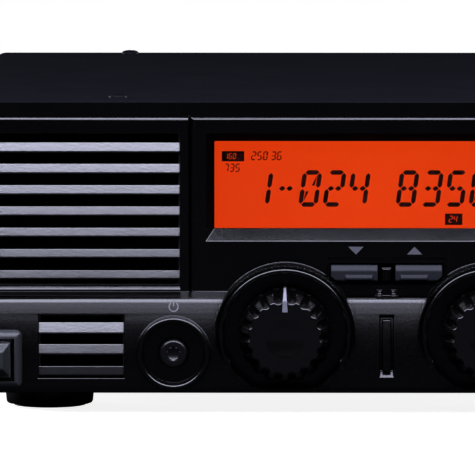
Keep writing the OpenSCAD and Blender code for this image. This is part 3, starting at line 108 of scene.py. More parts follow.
def bake_modifiers(obj: Piece) -> None:
    """Replace an object's mesh by its evaluated one and drop its modifiers.

    Args:
        obj: The object to settle.
    """
    bpy.context.view_layer.update()
    graph = bpy.context.evaluated_depsgraph_get()
    mesh = bpy.data.meshes.new_from_object(obj.evaluated_get(graph))
    obj.modifiers.clear()
    old = obj.data
    obj.data = mesh
    mesh.name = obj.name
    bpy.data.meshes.remove(old)


def shade(obj: Piece, sharp_deg: float) -> None:
    """Shade smooth up to an angle between faces, with flat faces kept flat beside their rounded edges.

    Args:
        obj: The piece.
        sharp_deg: Angle above which an edge stays sharp.
    """
    obj.data.shade_smooth()
    obj.data.set_sharp_from_angle(angle=math.radians(sharp_deg))
    weigh = obj.modifiers.new("weigh", "WEIGHTED_NORMAL")
    weigh.mode = "FACE_AREA"
    weigh.keep_sharp = True
    bake_modifiers(obj)


def welded(node: str) -> Shape:
    """Copy a CAD node with its loose triangles joined into faces.

    Args:
        node: The CAD node's name.

    Returns:
        The copy, in metres.
    """
    bm = bmesh.new()
    bm.from_mesh(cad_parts[node].data)
    bmesh.ops.remove_doubles(bm, verts=bm.verts, dist=WELD)
    bmesh.ops.dissolve_degenerate(bm, dist=WELD, edges=bm.edges)
    bmesh.ops.dissolve_limit(bm, angle_limit=FLAT, verts=bm.verts, edges=bm.edges)
    return bm


def soften(obj: Piece, width: float, steps: int = 2, angle_deg: float = 32.0) -> None:
    """Round an object's sharp edges, inside the box that it had before.

    Args:
        obj: The piece.
        width: Width of the rounding in millimetres.
        steps: Faces across the rounding.
        angle_deg: Edges sharper than this are rounded.
    """
    sides = [[vert.co[axis] for vert in obj.data.vertices] for axis in range(3)]
    limits = [(min(side), max(side)) for side in sides]
    edge = obj.modifiers.new("edge", "BEVEL")
    edge.width = width * MM
    edge.segments = steps
    edge.limit_method = "ANGLE"
    edge.angle_limit = math.radians(angle_deg)
    edge.use_clamp_overlap = False
    edge.miter_outer = "MITER_SHARP"
    bake_modifiers(obj)
    for vert in obj.data.vertices:
        vert.co = [min(max(part, low), high) for part, (low, high) in zip(vert.co, limits)]


def band(bm: Shape, first: Sequence[Vert], second: Sequence[Vert]) -> None:
    """Join two rings, with as many points in each, by a band of faces."""
    for i in range(len(first)):
        bm.faces.new((first[i - 1], second[i - 1], second[i], first[i]))


def plate(bm: Shape, front: Sequence[Vector], back: Sequence[Vector]) -> None:
    """Add a thin closed shape.

    Args:
        bm: The shape to add to.
        front: Outline of its face.
        back: Outline of its back, with as many points.
    """
    near = [bm.verts.new(point) for point in front]
    far = [bm.verts.new(point) for point in back]
    bm.faces.new(near)
    bm.faces.new(list(reversed(far)))
    band(bm, near, far)


def own(obj: Piece, body: str, slot: str, *nodes: str) -> Piece:
    """Hang a finished piece on its body, hide the CAD nodes that it stands for and log it.

    Args:
        obj: The piece.
        body: Body that it rides on.
        slot: Material slot of the record; not used.
        nodes: CAD nodes that it stands for.

    Returns:
        The same piece.
    """
    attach(obj, body)
    if nodes:
        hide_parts(*nodes)
    LOG.info("%s rides on %s (%d faces)", obj.name, body, len(obj.data.polygons))
    return obj


@dataclass
class Net:
    """A node tree, with short ways to add nodes to it and join them."""

    tree: Tree

    @classmethod
    def group(cls, name: str, kind: str, inputs: dict[str, str], outputs: dict[str, str]) -> "Net":
        """Start a node group with its named sockets.

        Args:
            name: Group name.
            kind: Type of tree.
            inputs: Name and kind of each input.
            outputs: Name and kind of each output.

        Returns:
            The group's net.
        """
        tree = bpy.data.node_groups.new(name, kind)
        for way, sockets in (("INPUT", inputs), ("OUTPUT", outputs)):
            for label, socket in sockets.items():
                tree.interface.new_socket(label, in_out=way, socket_type="NodeSocket" + socket)
        return cls(tree)

    def feed(self, node: Node, inputs: Inputs) -> None:
        """Join or set a node's inputs.

        Args:
            node: The node.
            inputs: Sockets by name or number, each with the socket that feeds it or with its value.
        """
        for socket, value in inputs.items():
            if isinstance(value, Socket):
                self.tree.links.new(value, node.inputs[socket])
            else:
                node.inputs[socket].default_value = value

    def add(self, kind: str, inputs: Optional[Inputs] = None, **options: object) -> Node:
        """Add a node.

        Args:
            kind: Type of node.
            inputs: What its sockets are fed with.
            options: The node's own options, which are set first.

        Returns:
            The node.
        """
        node = self.tree.nodes.new(kind)
        for option, value in options.items():
            setattr(node, option, value)
        self.feed(node, inputs or {})
        return node

    def where(self) -> Socket:
        """Give the object's own coordinates."""
        return self.add("ShaderNodeTexCoord").outputs["Object"]

    def ray(self, question: str) -> Socket:
        """Give what the light path says of a ray."""
        return self.add("ShaderNodeLightPath").outputs[question]

    def work_out(self, operation: str, *values: object) -> Socket:
        """Work out a value from others."""
        return self.add("ShaderNodeMath", dict(enumerate(values)), operation=operation).outputs[0]

    def mix(self, factor: object, first: object, second: object) -> Socket:
        """Blend two colours."""
        return self.add("ShaderNodeMix", {"Factor": factor, 6: first, 7: second}, data_type="RGBA").outputs[2]


def new_material(name: str) -> tuple[Material, Net, Node]:
    """Start a material.

    Args:
        name: The material's name.

    Returns:
        The material, its net and its Principled shader.
    """
    mat = bpy.data.materials.new(name)
    mat.use_nodes = True
    return mat, Net(mat.node_tree), mat.node_tree.nodes["Principled BSDF"]


class Groups:
    """Shader node groups that several finishes share, each with a colour, a roughness and a height."""

    GRAIN = "mould grain"
    LINES = "drawn lines"
    OUTPUTS = {"Color": "Color", "Roughness": "Float", "Height": "Float"}
    # Values of a noise at which a surface is smooth and rough
    SPREAD = (0.3, 0.7)
    # Share of the handling marks in a moulded surface's roughness
    MARKS = 0.35

    @classmethod
    def _close(cls, net: Net, start: bpy.types.NodeOutputs, noise: Socket, wear: Socket) -> Tree:
        """Turn noises into a group's outputs.

        Args:
            net: The group's net.
            start: The group's inputs.
            noise: What tells the two colours apart, and is the height.
            wear: What tells smooth from rough.

        Returns:
            The finished group.
        """
        gloss = net.add("ShaderNodeMapRange", {
            "Value": wear, "From Min": cls.SPREAD[0], "From Max": cls.SPREAD[1],
            "To Min": start["Smooth"], "To Max": start["Rough"]})
        net.add("NodeGroupOutput", {
            "Color": net.mix(noise, start["Base"], start["Fleck"]),
            "Roughness": gloss.outputs["Result"], "Height": noise})
        return net.tree

    @classmethod
    def grain(cls) -> Tree:
        """Spark-eroded mould texture with faint handling marks.

        Returns:
            The group.
        """
        if cls.GRAIN in bpy.data.node_groups:
            return bpy.data.node_groups[cls.GRAIN]
        net = Net.group(cls.GRAIN, "ShaderNodeTree", {
            "Base": "Color", "Fleck": "Color", "Grain Scale": "Float", "Patch Scale": "Float",
            "Smooth": "Float", "Rough": "Float"}, cls.OUTPUTS)
        start = net.add("NodeGroupInput").outputs
        where = net.where()
        fine = net.add("ShaderNodeTexNoise", {
            "Vector": where, "Scale": start["Grain Scale"], "Detail": 3.0, "Roughness": 0.62}).outputs["Fac"]
        patch = net.add("ShaderNodeTexNoise", {
            "Vector": where, "Scale": start["Patch Scale"], "Detail": 5.0}).outputs["Fac"]
        wear = net.work_out("MULTIPLY_ADD", patch, cls.MARKS, net.work_out("MULTIPLY", fine, 1.0 - cls.MARKS))
        return cls._close(net, start, fine, wear)

    @classmethod
    def lines(cls) -> Tree:
        """Fine drawn lines of turned, plated or anodised metal.

        Returns:
            The group.
        """
        if cls.LINES in bpy.data.node_groups:
            return bpy.data.node_groups[cls.LINES]
        net = Net.group(cls.LINES, "ShaderNodeTree", {
            "Base": "Color", "Fleck": "Color", "Stretch": "Vector", "Smooth": "Float", "Rough": "Float",
        }, cls.OUTPUTS)
        start = net.add("NodeGroupInput").outputs
        pull = net.add("ShaderNodeVectorMath", {0: net.where(), 1: start["Stretch"]}, operation="MULTIPLY")
        line = net.add("ShaderNodeTexNoise", {
            "Vector": pull.outputs[0], "Scale": 1.0, "Detail": 4.0}).outputs["Fac"]
        return cls._close(net, start, line, line)


@dataclass(frozen=True)
class Finish:
    """Common part of every finish."""

    name: str

    def _textured(self, group: Tree, marks: Inputs, even: Inputs, relief: float,
                  relief_mm: float) -> Material:
        """Build a material round a shared group.

        Args:
            group: The group.
            marks: The group's inputs.
            even: The shader's inputs that are the same all over.
            relief: Strength of the relief.
            relief_mm: Depth of the relief in millimetres.

        Returns:
            The material.
        """
        mat, net, shader = new_material(self.name)
        made = net.add("ShaderNodeGroup", marks, node_tree=group).outputs
        bump = net.add("ShaderNodeBump", {
            "Strength": relief, "Distance": relief_mm * MM, "Height": made["Height"]})
        net.feed(shader, {"Base Color": made["Color"], "Roughness": made["Roughness"],
                          "Normal": bump.outputs["Normal"], **even})
        return mat

    def make(self) -> Material:
        """Build the material; each finish has its own way."""
        raise NotImplementedError


@dataclass(frozen=True)
class Moulded(Finish):
    """Textured plastic, rubber or enamel."""

    base: Colour = (0.0014, 0.0015, 0.0020)
    light: Colour = (0.0030, 0.0032, 0.0042)
    grain_mm: float = 0.4
    patch_mm: float = 26.0
    smooth: float = 0.34
    rough: float = 0.46
    relief: float = 0.25
    relief_mm: float = 0.03
    specular: float = 0.5
    coat: float = 0.0
    coat_rough: float = 0.12
    ior: float = 1.5

    def make(self) -> Material:
        """Build the textured material.

        Returns:
            The material.
        """
        marks = {"Base": (*self.base, 1.0), "Fleck": (*self.light, 1.0), "Smooth": self.smooth,
                 "Rough": self.rough, "Grain Scale": 1.0 / (self.grain_mm * MM),
                 "Patch Scale": 1.0 / (self.patch_mm * MM)}
        even = {"Specular IOR Level": self.specular, "Coat Weight": self.coat,
                "Coat Roughness": self.coat_rough, "IOR": self.ior}
        return self._textured(Groups.grain(), marks, even, self.relief, self.relief_mm)


@dataclass(frozen=True)
class Metal(Finish):
    """Plated, turned or anodised metal."""

    base: Colour = (0.62, 0.62, 0.62)
    dull: Colour = (0.45, 0.45, 0.46)
    stretch: Triple = (120.0, 120.0, 4000.0)
    smooth: float = 0.18
    rough: float = 0.38
    relief: float = 0.1
    relief_mm: float = 0.02

    def make(self) -> Material:
        """Build the metal.

        Returns:
            The material.
        """
        marks = {"Base": (*self.base, 1.0), "Fleck": (*self.dull, 1.0), "Stretch": self.stretch,
                 "Smooth": self.smooth, "Rough": self.rough}
        return self._textured(Groups.lines(), marks, {"Metallic": 1.0}, self.relief, self.relief_mm)


@dataclass(frozen=True)
class Glow(Finish):
    """Backlit panel, a little brighter towards its middle, that hardly mirrors in the pieces round it."""

    edge: Colour = (0.74, 0.074, 0.0065)
    middle: Colour = (0.82, 0.094, 0.0095)
    unlit: Colour = (0.02, 0.002, 0.001)
    strength: float = 1.0
    spot_mm: float = 90.0
    centre: Triple = (0.0, 0.0, 0.0)
    cell_scale: float = 900.0
    cell_share: float = 0.12
    lens_faces: int = 2
    mirrored: float = 0.04
    rough: float = 0.4
    specular: float = 0.1

    def make(self) -> Material:
        """Build the backlit material.

        Returns:
            The material.
        """
        mat, net, shader = new_material(self.name)
        where = net.where()
        size = (self.spot_mm * MM,) * 3
        place = net.add("ShaderNodeMapping", {"Vector": where, "Location": self.centre, "Scale": size},
                        vector_type="TEXTURE")
        spot = net.add("ShaderNodeTexGradient", {"Vector": place.outputs["Vector"]},
                       gradient_type="SPHERICAL")
        cell = net.add("ShaderNodeTexNoise", {"Vector": where, "Scale": self.cell_scale})
        share = net.work_out("MULTIPLY_ADD", cell.outputs["Fac"], self.cell_share, spot.outputs["Fac"])
        lit = net.mix(share, (*self.edge, 1.0), (*self.middle, 1.0))
        bounced = net.work_out("GREATER_THAN", net.ray("Ray Depth"), self.lens_faces + 0.5)
        dim = (*(self.mirrored * part for part in self.edge), 1.0)
        net.feed(shader, {
            "Emission Color": net.mix(bounced, lit, dim), "Emission Strength": self.strength,
            "Base Color": (*self.unlit, 1.0), "Roughness": self.rough, "Specular IOR Level": self.specular})
        return mat


@dataclass(frozen=True)
class Clear(Finish):
    """Clear acrylic sheet with a faint haze."""

    tint: Colour = (0.97, 0.97, 0.98)
    haze_scale: float = 60.0
    haze_detail: float = 6.0
    haze_rough: float = 0.04
    ior: float = 1.1

    def make(self) -> Material:
        """Build the clear material.

        Returns:
            The material.
        """
        mat, net, shader = new_material(self.name)
        haze = net.add("ShaderNodeTexNoise", {
            "Vector": net.where(), "Scale": self.haze_scale, "Detail": self.haze_detail})
        gloss = net.add("ShaderNodeMapRange", {
            "Value": haze.outputs["Fac"], "To Min": 0.0, "To Max": self.haze_rough})
        net.feed(shader, {"Roughness": gloss.outputs["Result"], "Base Color": (*self.tint, 1.0),
                          "Transmission Weight": 1.0, "IOR": self.ior})
        return mat


class Palette:
    """All finishes of the radio, each made once."""

    FINISHES: tuple[Finish, ...] = (
        Moulded("case_plastic", base=(0.0003, 0.0003, 0.0004), light=(0.0007, 0.0007, 0.0010), grain_mm=0.7,
                smooth=0.17, rough=0.29, relief=0.9),
        Moulded("grille_plastic", base=(0.0012, 0.0012, 0.0015), light=(0.0030, 0.0030, 0.0036), grain_mm=0.7,
                smooth=0.28, rough=0.42, relief=1.0, relief_mm=0.07, specular=1.0, ior=1.72),
        Moulded("key_plastic", base=(0.015, 0.0158, 0.0190), light=(0.024, 0.0252, 0.0300), grain_mm=0.3,
                smooth=0.38, rough=0.48, specular=0.12),
        Moulded("button_black", base=(0.0022, 0.0022, 0.0028), light=(0.0040, 0.0040, 0.0050), grain_mm=0.3,
                smooth=0.28, rough=0.38, relief=0.2),
        Moulded("knob_plastic", base=(0.0004, 0.0004, 0.0005), light=(0.0009, 0.0009, 0.0012), grain_mm=0.25,
                smooth=0.18, rough=0.26, relief=0.15, specular=1.0),
        Moulded("pointer_white", base=(0.12, 0.12, 0.135), light=(0.17, 0.17, 0.19), grain_mm=0.3,
                smooth=0.35, rough=0.5, relief=0.1),
        Moulded("cap_rubber", base=(0.014, 0.0158, 0.0168), light=(0.023, 0.0255, 0.0270), grain_mm=0.35,
                smooth=0.45, rough=0.6),
        Moulded("print_grey", base=(0.066, 0.067, 0.074), light=(0.090, 0.091, 0.100), grain_mm=0.3,
                smooth=0.45, rough=0.6, relief=0.1),
        Moulded("segment_ink", base=(0.020, 0.002, 0.002), light=(0.038, 0.004, 0.003), grain_mm=0.3,
                smooth=0.5, rough=0.6, relief=0.05, specular=0.1),
        Moulded("board_green", base=(0.010, 0.060, 0.026), light=(0.020, 0.10, 0.045), grain_mm=1.6,
                smooth=0.3, rough=0.45),
        Moulded("switch_black", base=(0.012, 0.012, 0.013), light=(0.024, 0.024, 0.026)),
        Moulded("cloth_black", base=(0.0006, 0.0006, 0.0007), light=(0.0016, 0.0016, 0.0018), grain_mm=0.5,
                smooth=0.85, rough=1.0, relief=0.8, specular=0.1),
        Moulded("paper_cone", base=(0.02, 0.019, 0.018), light=(0.045, 0.043, 0.041), grain_mm=0.8,
                smooth=0.75, rough=0.95, relief=0.6),
        Moulded("painted_steel", base=(0.0017, 0.0021, 0.0038), light=(0.0032, 0.0039, 0.0066), grain_mm=0.55,
                smooth=0.5, rough=0.64, relief=0.3, specular=0.12),
        Moulded("fan_black", base=(0.010, 0.010, 0.011), light=(0.020, 0.020, 0.022)),
        Moulded("insulator_cream", base=(0.66, 0.62, 0.52), light=(0.78, 0.74, 0.64), grain_mm=0.5,
                smooth=0.3, rough=0.42, relief=0.1),
        Moulded("inlet_white", base=(0.60, 0.57, 0.49), light=(0.72, 0.69, 0.61), grain_mm=0.5,
                smooth=0.35, rough=0.5, relief=0.15),
        Moulded("jack_black", base=(0.010, 0.010, 0.011), light=(0.020, 0.020, 0.022), grain_mm=0.3),
        Moulded("ribbon_grey", base=(0.42, 0.41, 0.39), light=(0.58, 0.57, 0.54), grain_mm=1.2),
        Moulded("backlight_white", base=(0.62, 0.60, 0.55), light=(0.76, 0.74, 0.69), grain_mm=0.6),
        Moulded("magnet_grey", base=(0.030, 0.030, 0.033), light=(0.060, 0.060, 0.064), grain_mm=0.7,
                smooth=0.5, rough=0.7, relief=0.5),
        Moulded("foot_plastic", base=(0.006, 0.006, 0.008), light=(0.012, 0.012, 0.015), grain_mm=0.6,
                smooth=0.14, rough=0.24, relief=0.05, coat=0.3),
        Moulded("foot_rubber", base=(0.010, 0.010, 0.010), light=(0.022, 0.022, 0.022), grain_mm=0.5,
                smooth=0.7, rough=0.9, relief=0.4),
        Metal("bright_steel"),
        Metal("chassis_alloy", base=(0.010, 0.010, 0.011), dull=(0.018, 0.018, 0.020), smooth=0.5, rough=0.7),
        Metal("sink_black", base=(0.020, 0.021, 0.024), dull=(0.034, 0.035, 0.039),
              stretch=(200.0, 200.0, 2500.0), smooth=0.34, rough=0.5, relief=0.2),
        Metal("socket_plating", base=(0.70, 0.70, 0.69), dull=(0.55, 0.55, 0.55), smooth=0.12, rough=0.28),
        Metal("contact_brass", base=(0.72, 0.50, 0.20), dull=(0.56, 0.37, 0.14), smooth=0.16, rough=0.32),
        Metal("coil_copper", base=(0.70, 0.30, 0.14), dull=(0.50, 0.19, 0.09), smooth=0.2, rough=0.4),
        Metal("can_tin", base=(0.62, 0.62, 0.61), dull=(0.50, 0.50, 0.49), smooth=0.25, rough=0.45),
        Glow("lcd_orange", centre=tuple(at(29.85, 7.0, 78.0))),
        Clear("clear_lens"),
    )

    def __init__(self) -> None:
        """Make every finish."""
        self._made = {finish.name: finish.make() for finish in self.FINISHES}

    def __getitem__(self, name: str) -> Material:
        """Give a finish by its name."""
        return self._made[name]

    def dress(self, obj: Piece, name: str) -> None:
        """Give an object one finish."""
        obj.data.materials.clear()
        obj.data.materials.append(self._made[name])

    def dress_node(self, node: str, name: str) -> None:
        """Give a CAD node that stays in view one finish.

        Args:
            node: The CAD node.
            name: The finish.
        """
        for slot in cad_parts[node].material_slots:
            slot.material = self._made[name]
        LOG.info("%s stays, in %s", node, name)


@dataclass
class RoundedPart:
    """A CAD node shown as a copy with rounded edges."""

    node: str
    slot: str
    body: str = ROOT
    width: float = 0.3
    steps: int = 2
    sharp_deg: float = 42.0
    finish: str = ""

    def shape(self) -> Shape:
        """Copy the node's solid."""
        return welded(self.node)

    def build(self, palette: Palette) -> Piece:
        """Args:
            palette: The finishes.

        Returns:
            The piece.
        """
        obj = new_piece(self.shape(), self.node + "_shell")
        if self.width > 0.0:
            soften(obj, self.width, self.steps)
        shade(obj, self.sharp_deg)
        palette.dress(obj, self.finish or self.slot)
        return own(obj, self.body, self.slot, self.node)


@dataclass
class LeaningGrille(RoundedPart):
    """A grille whose louvre faces lean a few tenths of a millimetre more or less than the solid's.

    Each louvre is the height of its top, its face's height and how far its top goes back.
    """

    louvres: tuple[Triple, ...] = ()
    face_d: float = -4.4
    near: float = 0.02

    def shape(self) -> Shape:
        """Copy the solid and lean each louvre's face.

        Returns:
            The copy, in metres.
        """
        bm = welded(self.node)
        face_y = at(0.0, self.face_d, 0.0).y
        for vert in bm.verts:
            z = vert.co.z / MM
            for top, rise, run in self.louvres:
                if vert.co.y < face_y and top - rise - self.near < z < top + self.near:
                    vert.co.y += run * MM * (z - top + rise) / rise
        return bm


@dataclass
class Display:
    """Backlit panel behind the lens, with dark segments switched on in it.

    Depths are of a layer's face and back. A row is its text, the lower left corner and the size next to the
    large characters, and a block is its lower left corner, width and height.
    """

    left: float = -29.55
    right: float = 89.25
    low: float = 63.3
    high: float = 93.5
    margin: float = 2.5
    rounding: float = 0.15
    sharp_deg: float = 40.0
    glow_d: Point = (7.25, 9.4)
    ink_d: Point = (7.1, 7.2)
    bright_d: Point = (7.05, 7.2)
    glyph_w: float = 6.7
    glyph_h: float = 12.6
    stroke: float = 1.5
    slant: float = 0.14
    gap: float = 0.22
    pitch: float = 8.4
    slash_x: Point = (0.56, 0.70)
    slash_z: Point = (1.6, 0.4)
    slash_gap: float = 1.0
    ink_rows: tuple[tuple[str, Point, float], ...] = (
        ("1-024 8350", (-17.5, 70.6), 1.0), ("250", (-17.0, 86.7), 0.24), ("36", (-10.1456, 86.7), 0.24),
        ("735", (-26.4, 82.6), 0.23))
    blocks: tuple[tuple[float, float, float, float], ...] = ((-27.0, 86.3, 7.7, 3.5), (50.1, 64.3, 6.0, 3.9))
    bright_rows: tuple[tuple[str, Point, float], ...] = (
        ("160", (-26.2, 87.0), 0.17), ("24", (51.3, 65.1), 0.19))

    SEGMENTS: ClassVar[dict[str, str]] = {
        "0": "abcdefzy", "1": "bc", "2": "abghed", "3": "abghcd", "4": "fghbc", "5": "afghcd",
        "6": "afghedc", "7": "abc", "8": "abcdefgh", "9": "abcdfgh", "-": "gh", " ": "",
    }

    @staticmethod
    def _flat(bm: Shape, points: list[Point], depths: Point) -> None:
        """Add one flat shape, with its face to the front whichever way round its points go.

        Args:
            bm: The shape to add to.
            points: Outline in millimetres, across and up.
            depths: Depths of its face and back.
        """
        area = sum(a[0] * b[1] - b[0] * a[1] for a, b in zip(points, points[1:] + points[:1]))
        ring = points if area > 0 else points[::-1]
        front, back = ([at(x, d, z) for x, z in ring] for d in depths)
        plate(bm, front, back)

    def _block(self, bm: Shape, corner: Point, size: Point, depths: Point) -> None:
        """Add one upright rectangle.

        Args:
            bm: The shape to add to.
            corner: Its lower left corner.
            size: Its width and height.
            depths: Depths of its face and back.
        """
        (x, z), (w, h) = corner, size
        self._flat(bm, [(x, z), (x + w, z), (x + w, z + h), (x, z + h)], depths)

    def _strokes(self) -> dict[str, list[Point]]:
        """Give the outline of every segment of one character.

        Returns:
            Segment name to points, before the slant.
        """
        w, h, t, g = self.glyph_w, self.glyph_h, self.stroke, self.gap
        m = h / 2
        k = t / 2
        left, right = k, w - k

        def bar(x0: float, x1: float, z: float) -> list[Point]:
            """Outline of a level segment about the height z."""
            return [(x0, z), (x0 + k, z - k), (x1 - k, z - k), (x1, z), (x1 - k, z + k), (x0 + k, z + k)]

        def post(x: float, z0: float, z1: float) -> list[Point]:
            """Outline of an upright segment about the place x."""
            return [(x, z0), (x + k, z0 + k), (x + k, z1 - k), (x, z1), (x - k, z1 - k), (x - k, z0 + k)]

        slash = [(w * share, m + self.slash_gap) for share in self.slash_x]
        slash += [(right - k - g, h - t - down) for down in self.slash_z]
        return {
            "a": bar(left + g, right - g, h - k),
            "d": bar(left + g, right - g, k),
            "g": bar(left + g, w / 2 - g, m),
            "h": bar(w / 2 + g, right - g, m),
            "f": post(left, m + g, h - k - g),
            "e": post(left, k + g, m - g),
            "b": post(right, m + g, h - k - g),
            "c": post(right, k + g, m - g),
            "z": slash,
            "y": [(w - x, h - z) for x, z in slash],
        }

    def _row(self, bm: Shape, text: str, corner: Point, size: float, depths: Point) -> None:
        """Draw a row of slanted characters.

        Args:
            bm: The shape to add to.
            text: The characters.
            corner: Lower left corner of the first one in millimetres.
            size: Size next to the large characters.
            depths: Depths of their faces and backs.
        """
        outlines = self._strokes()
        x0, z0 = corner
        for i, sign in enumerate(text):
            for name in self.SEGMENTS[sign]:
                self._flat(bm, [(x0 + size * (x + z * self.slant + self.pitch * i), z0 + size * z)
                                for x, z in outlines[name]], depths)

    def build(self, palette: Palette) -> None:
        """Make the panel and its segments.

        Args:
            palette: The finishes.
        """
        bm = bmesh.new()
        room = 2 * self.margin
        self._block(bm, (self.left - self.margin, self.low - self.margin),
                    (self.right - self.left + room, self.high - self.low + room), self.glow_d)
        panel = new_piece(bm, "lcd_panel")
        soften(panel, self.rounding)
        shade(panel, self.sharp_deg)
        palette.dress(panel, "lcd_orange")
        own(panel, ROOT, "lcd_orange", "lcd_glass")
        bm = bmesh.new()
        for row in self.ink_rows:
            self._row(bm, *row, self.ink_d)
        for x, z, w, h in self.blocks:
            self._block(bm, (x, z), (w, h), self.ink_d)
        ink = new_piece(bm, "lcd_segments")
        palette.dress(ink, "segment_ink")
        own(ink, ROOT, "lcd_segment")
        bm = bmesh.new()
        for row in self.bright_rows:
            self._row(bm, *row, self.bright_d)
        bright = new_piece(bm, "lcd_bright_numbers")
        palette.dress(bright, "lcd_orange")
        own(bright, ROOT, "lcd_orange")
        palette.dress_node("display_lens", "clear_lens")


@dataclass
class PrintedSigns:
    """Signs printed on the front: two arrows on the strip and a standby sign on the curved ledge."""

    ink_mm: float = 0.06
    sunk_mm: float = 0.05
    arrow_w: float = 5.4
    arrow_h: float = 2.7
    down_x: float = 19.3
    up_x: float = 39.5
    arrow_z: float = 56.0
    standby_at: Point = (-43.5, 37.0)
    standby_r: float = 1.75
    standby_t: float = 0.42
    standby_gap_deg: float = 38.0
    bar_z: Point = (0.2, 2.1)
    ledge_centre: Point = (62.5, 13.0)
    ledge_r: float = 72.0
    steps: int = 40

    def _ledge_d(self, z: float) -> float:
        """Give the depth of the ledge's curved face at a height."""
        d, mid = self.ledge_centre
        return d - math.sqrt(self.ledge_r ** 2 - (z - mid) ** 2)

    def _print(self, bm: Shape, ring: Sequence[Point], on_ledge: bool) -> None:
        """Add a thin printed shape.

        Args:
            bm: The shape to add to.
            ring: Outline in millimetres.
            on_ledge: True on the curved ledge, False on the strip plane.
        """
        spots = [(x, self._ledge_d(z) if on_ledge else 0.0, z) for x, z in ring]
        plate(bm, [at(x, d - self.ink_mm, z) for x, d, z in spots],
              [at(x, d + self.sunk_mm, z) for x, d, z in spots])

    def _arrow(self, bm: Shape, x: float, way: Arrow) -> None:
        """Add a triangle about the place x that points up or down."""
        w, h, z = self.arrow_w / 2, way.value * self.arrow_h / 2, self.arrow_z
        self._print(bm, [(x - w, z - h), (x + w, z - h), (x, z + h)], False)

    def _standby(self, bm: Shape) -> None:
        """Add the broken ring with its upright bar.

        Args:
            bm: The shape to add to.
        """
        cx, cz = self.standby_at
        inner, outer = self.standby_r - self.standby_t, self.standby_r
        first = 90 + self.standby_gap_deg
        step = (360 - 2 * self.standby_gap_deg) / self.steps
        for i in range(self.steps):
            a0, a1 = math.radians(first + step * i), math.radians(first + step * (i + 1))
            corners = ((outer, a0), (outer, a1), (inner, a1), (inner, a0))
            self._print(bm, [(cx + r * math.cos(a), cz + r * math.sin(a)) for r, a in corners], True)
        left, right = cx - self.standby_t / 2, cx + self.standby_t / 2
        low, high = (cz + up for up in self.bar_z)
        self._print(bm, [(left, low), (right, low), (right, high), (left, high)], True)

    def build(self, palette: Palette) -> None:
        """Make the signs as one piece.

        Args:
            palette: The finishes.
        """
        bm = bmesh.new()
        self._arrow(bm, self.down_x, Arrow.DOWN)
        self._arrow(bm, self.up_x, Arrow.UP)
        self._standby(bm)
        bmesh.ops.remove_doubles(bm, verts=bm.verts, dist=WELD)
        bmesh.ops.recalc_face_normals(bm, faces=bm.faces)
        obj = new_piece(bm, "printed_signs")
        palette.dress(obj, "print_grey")
        own(obj, ROOT, "pointer_white")


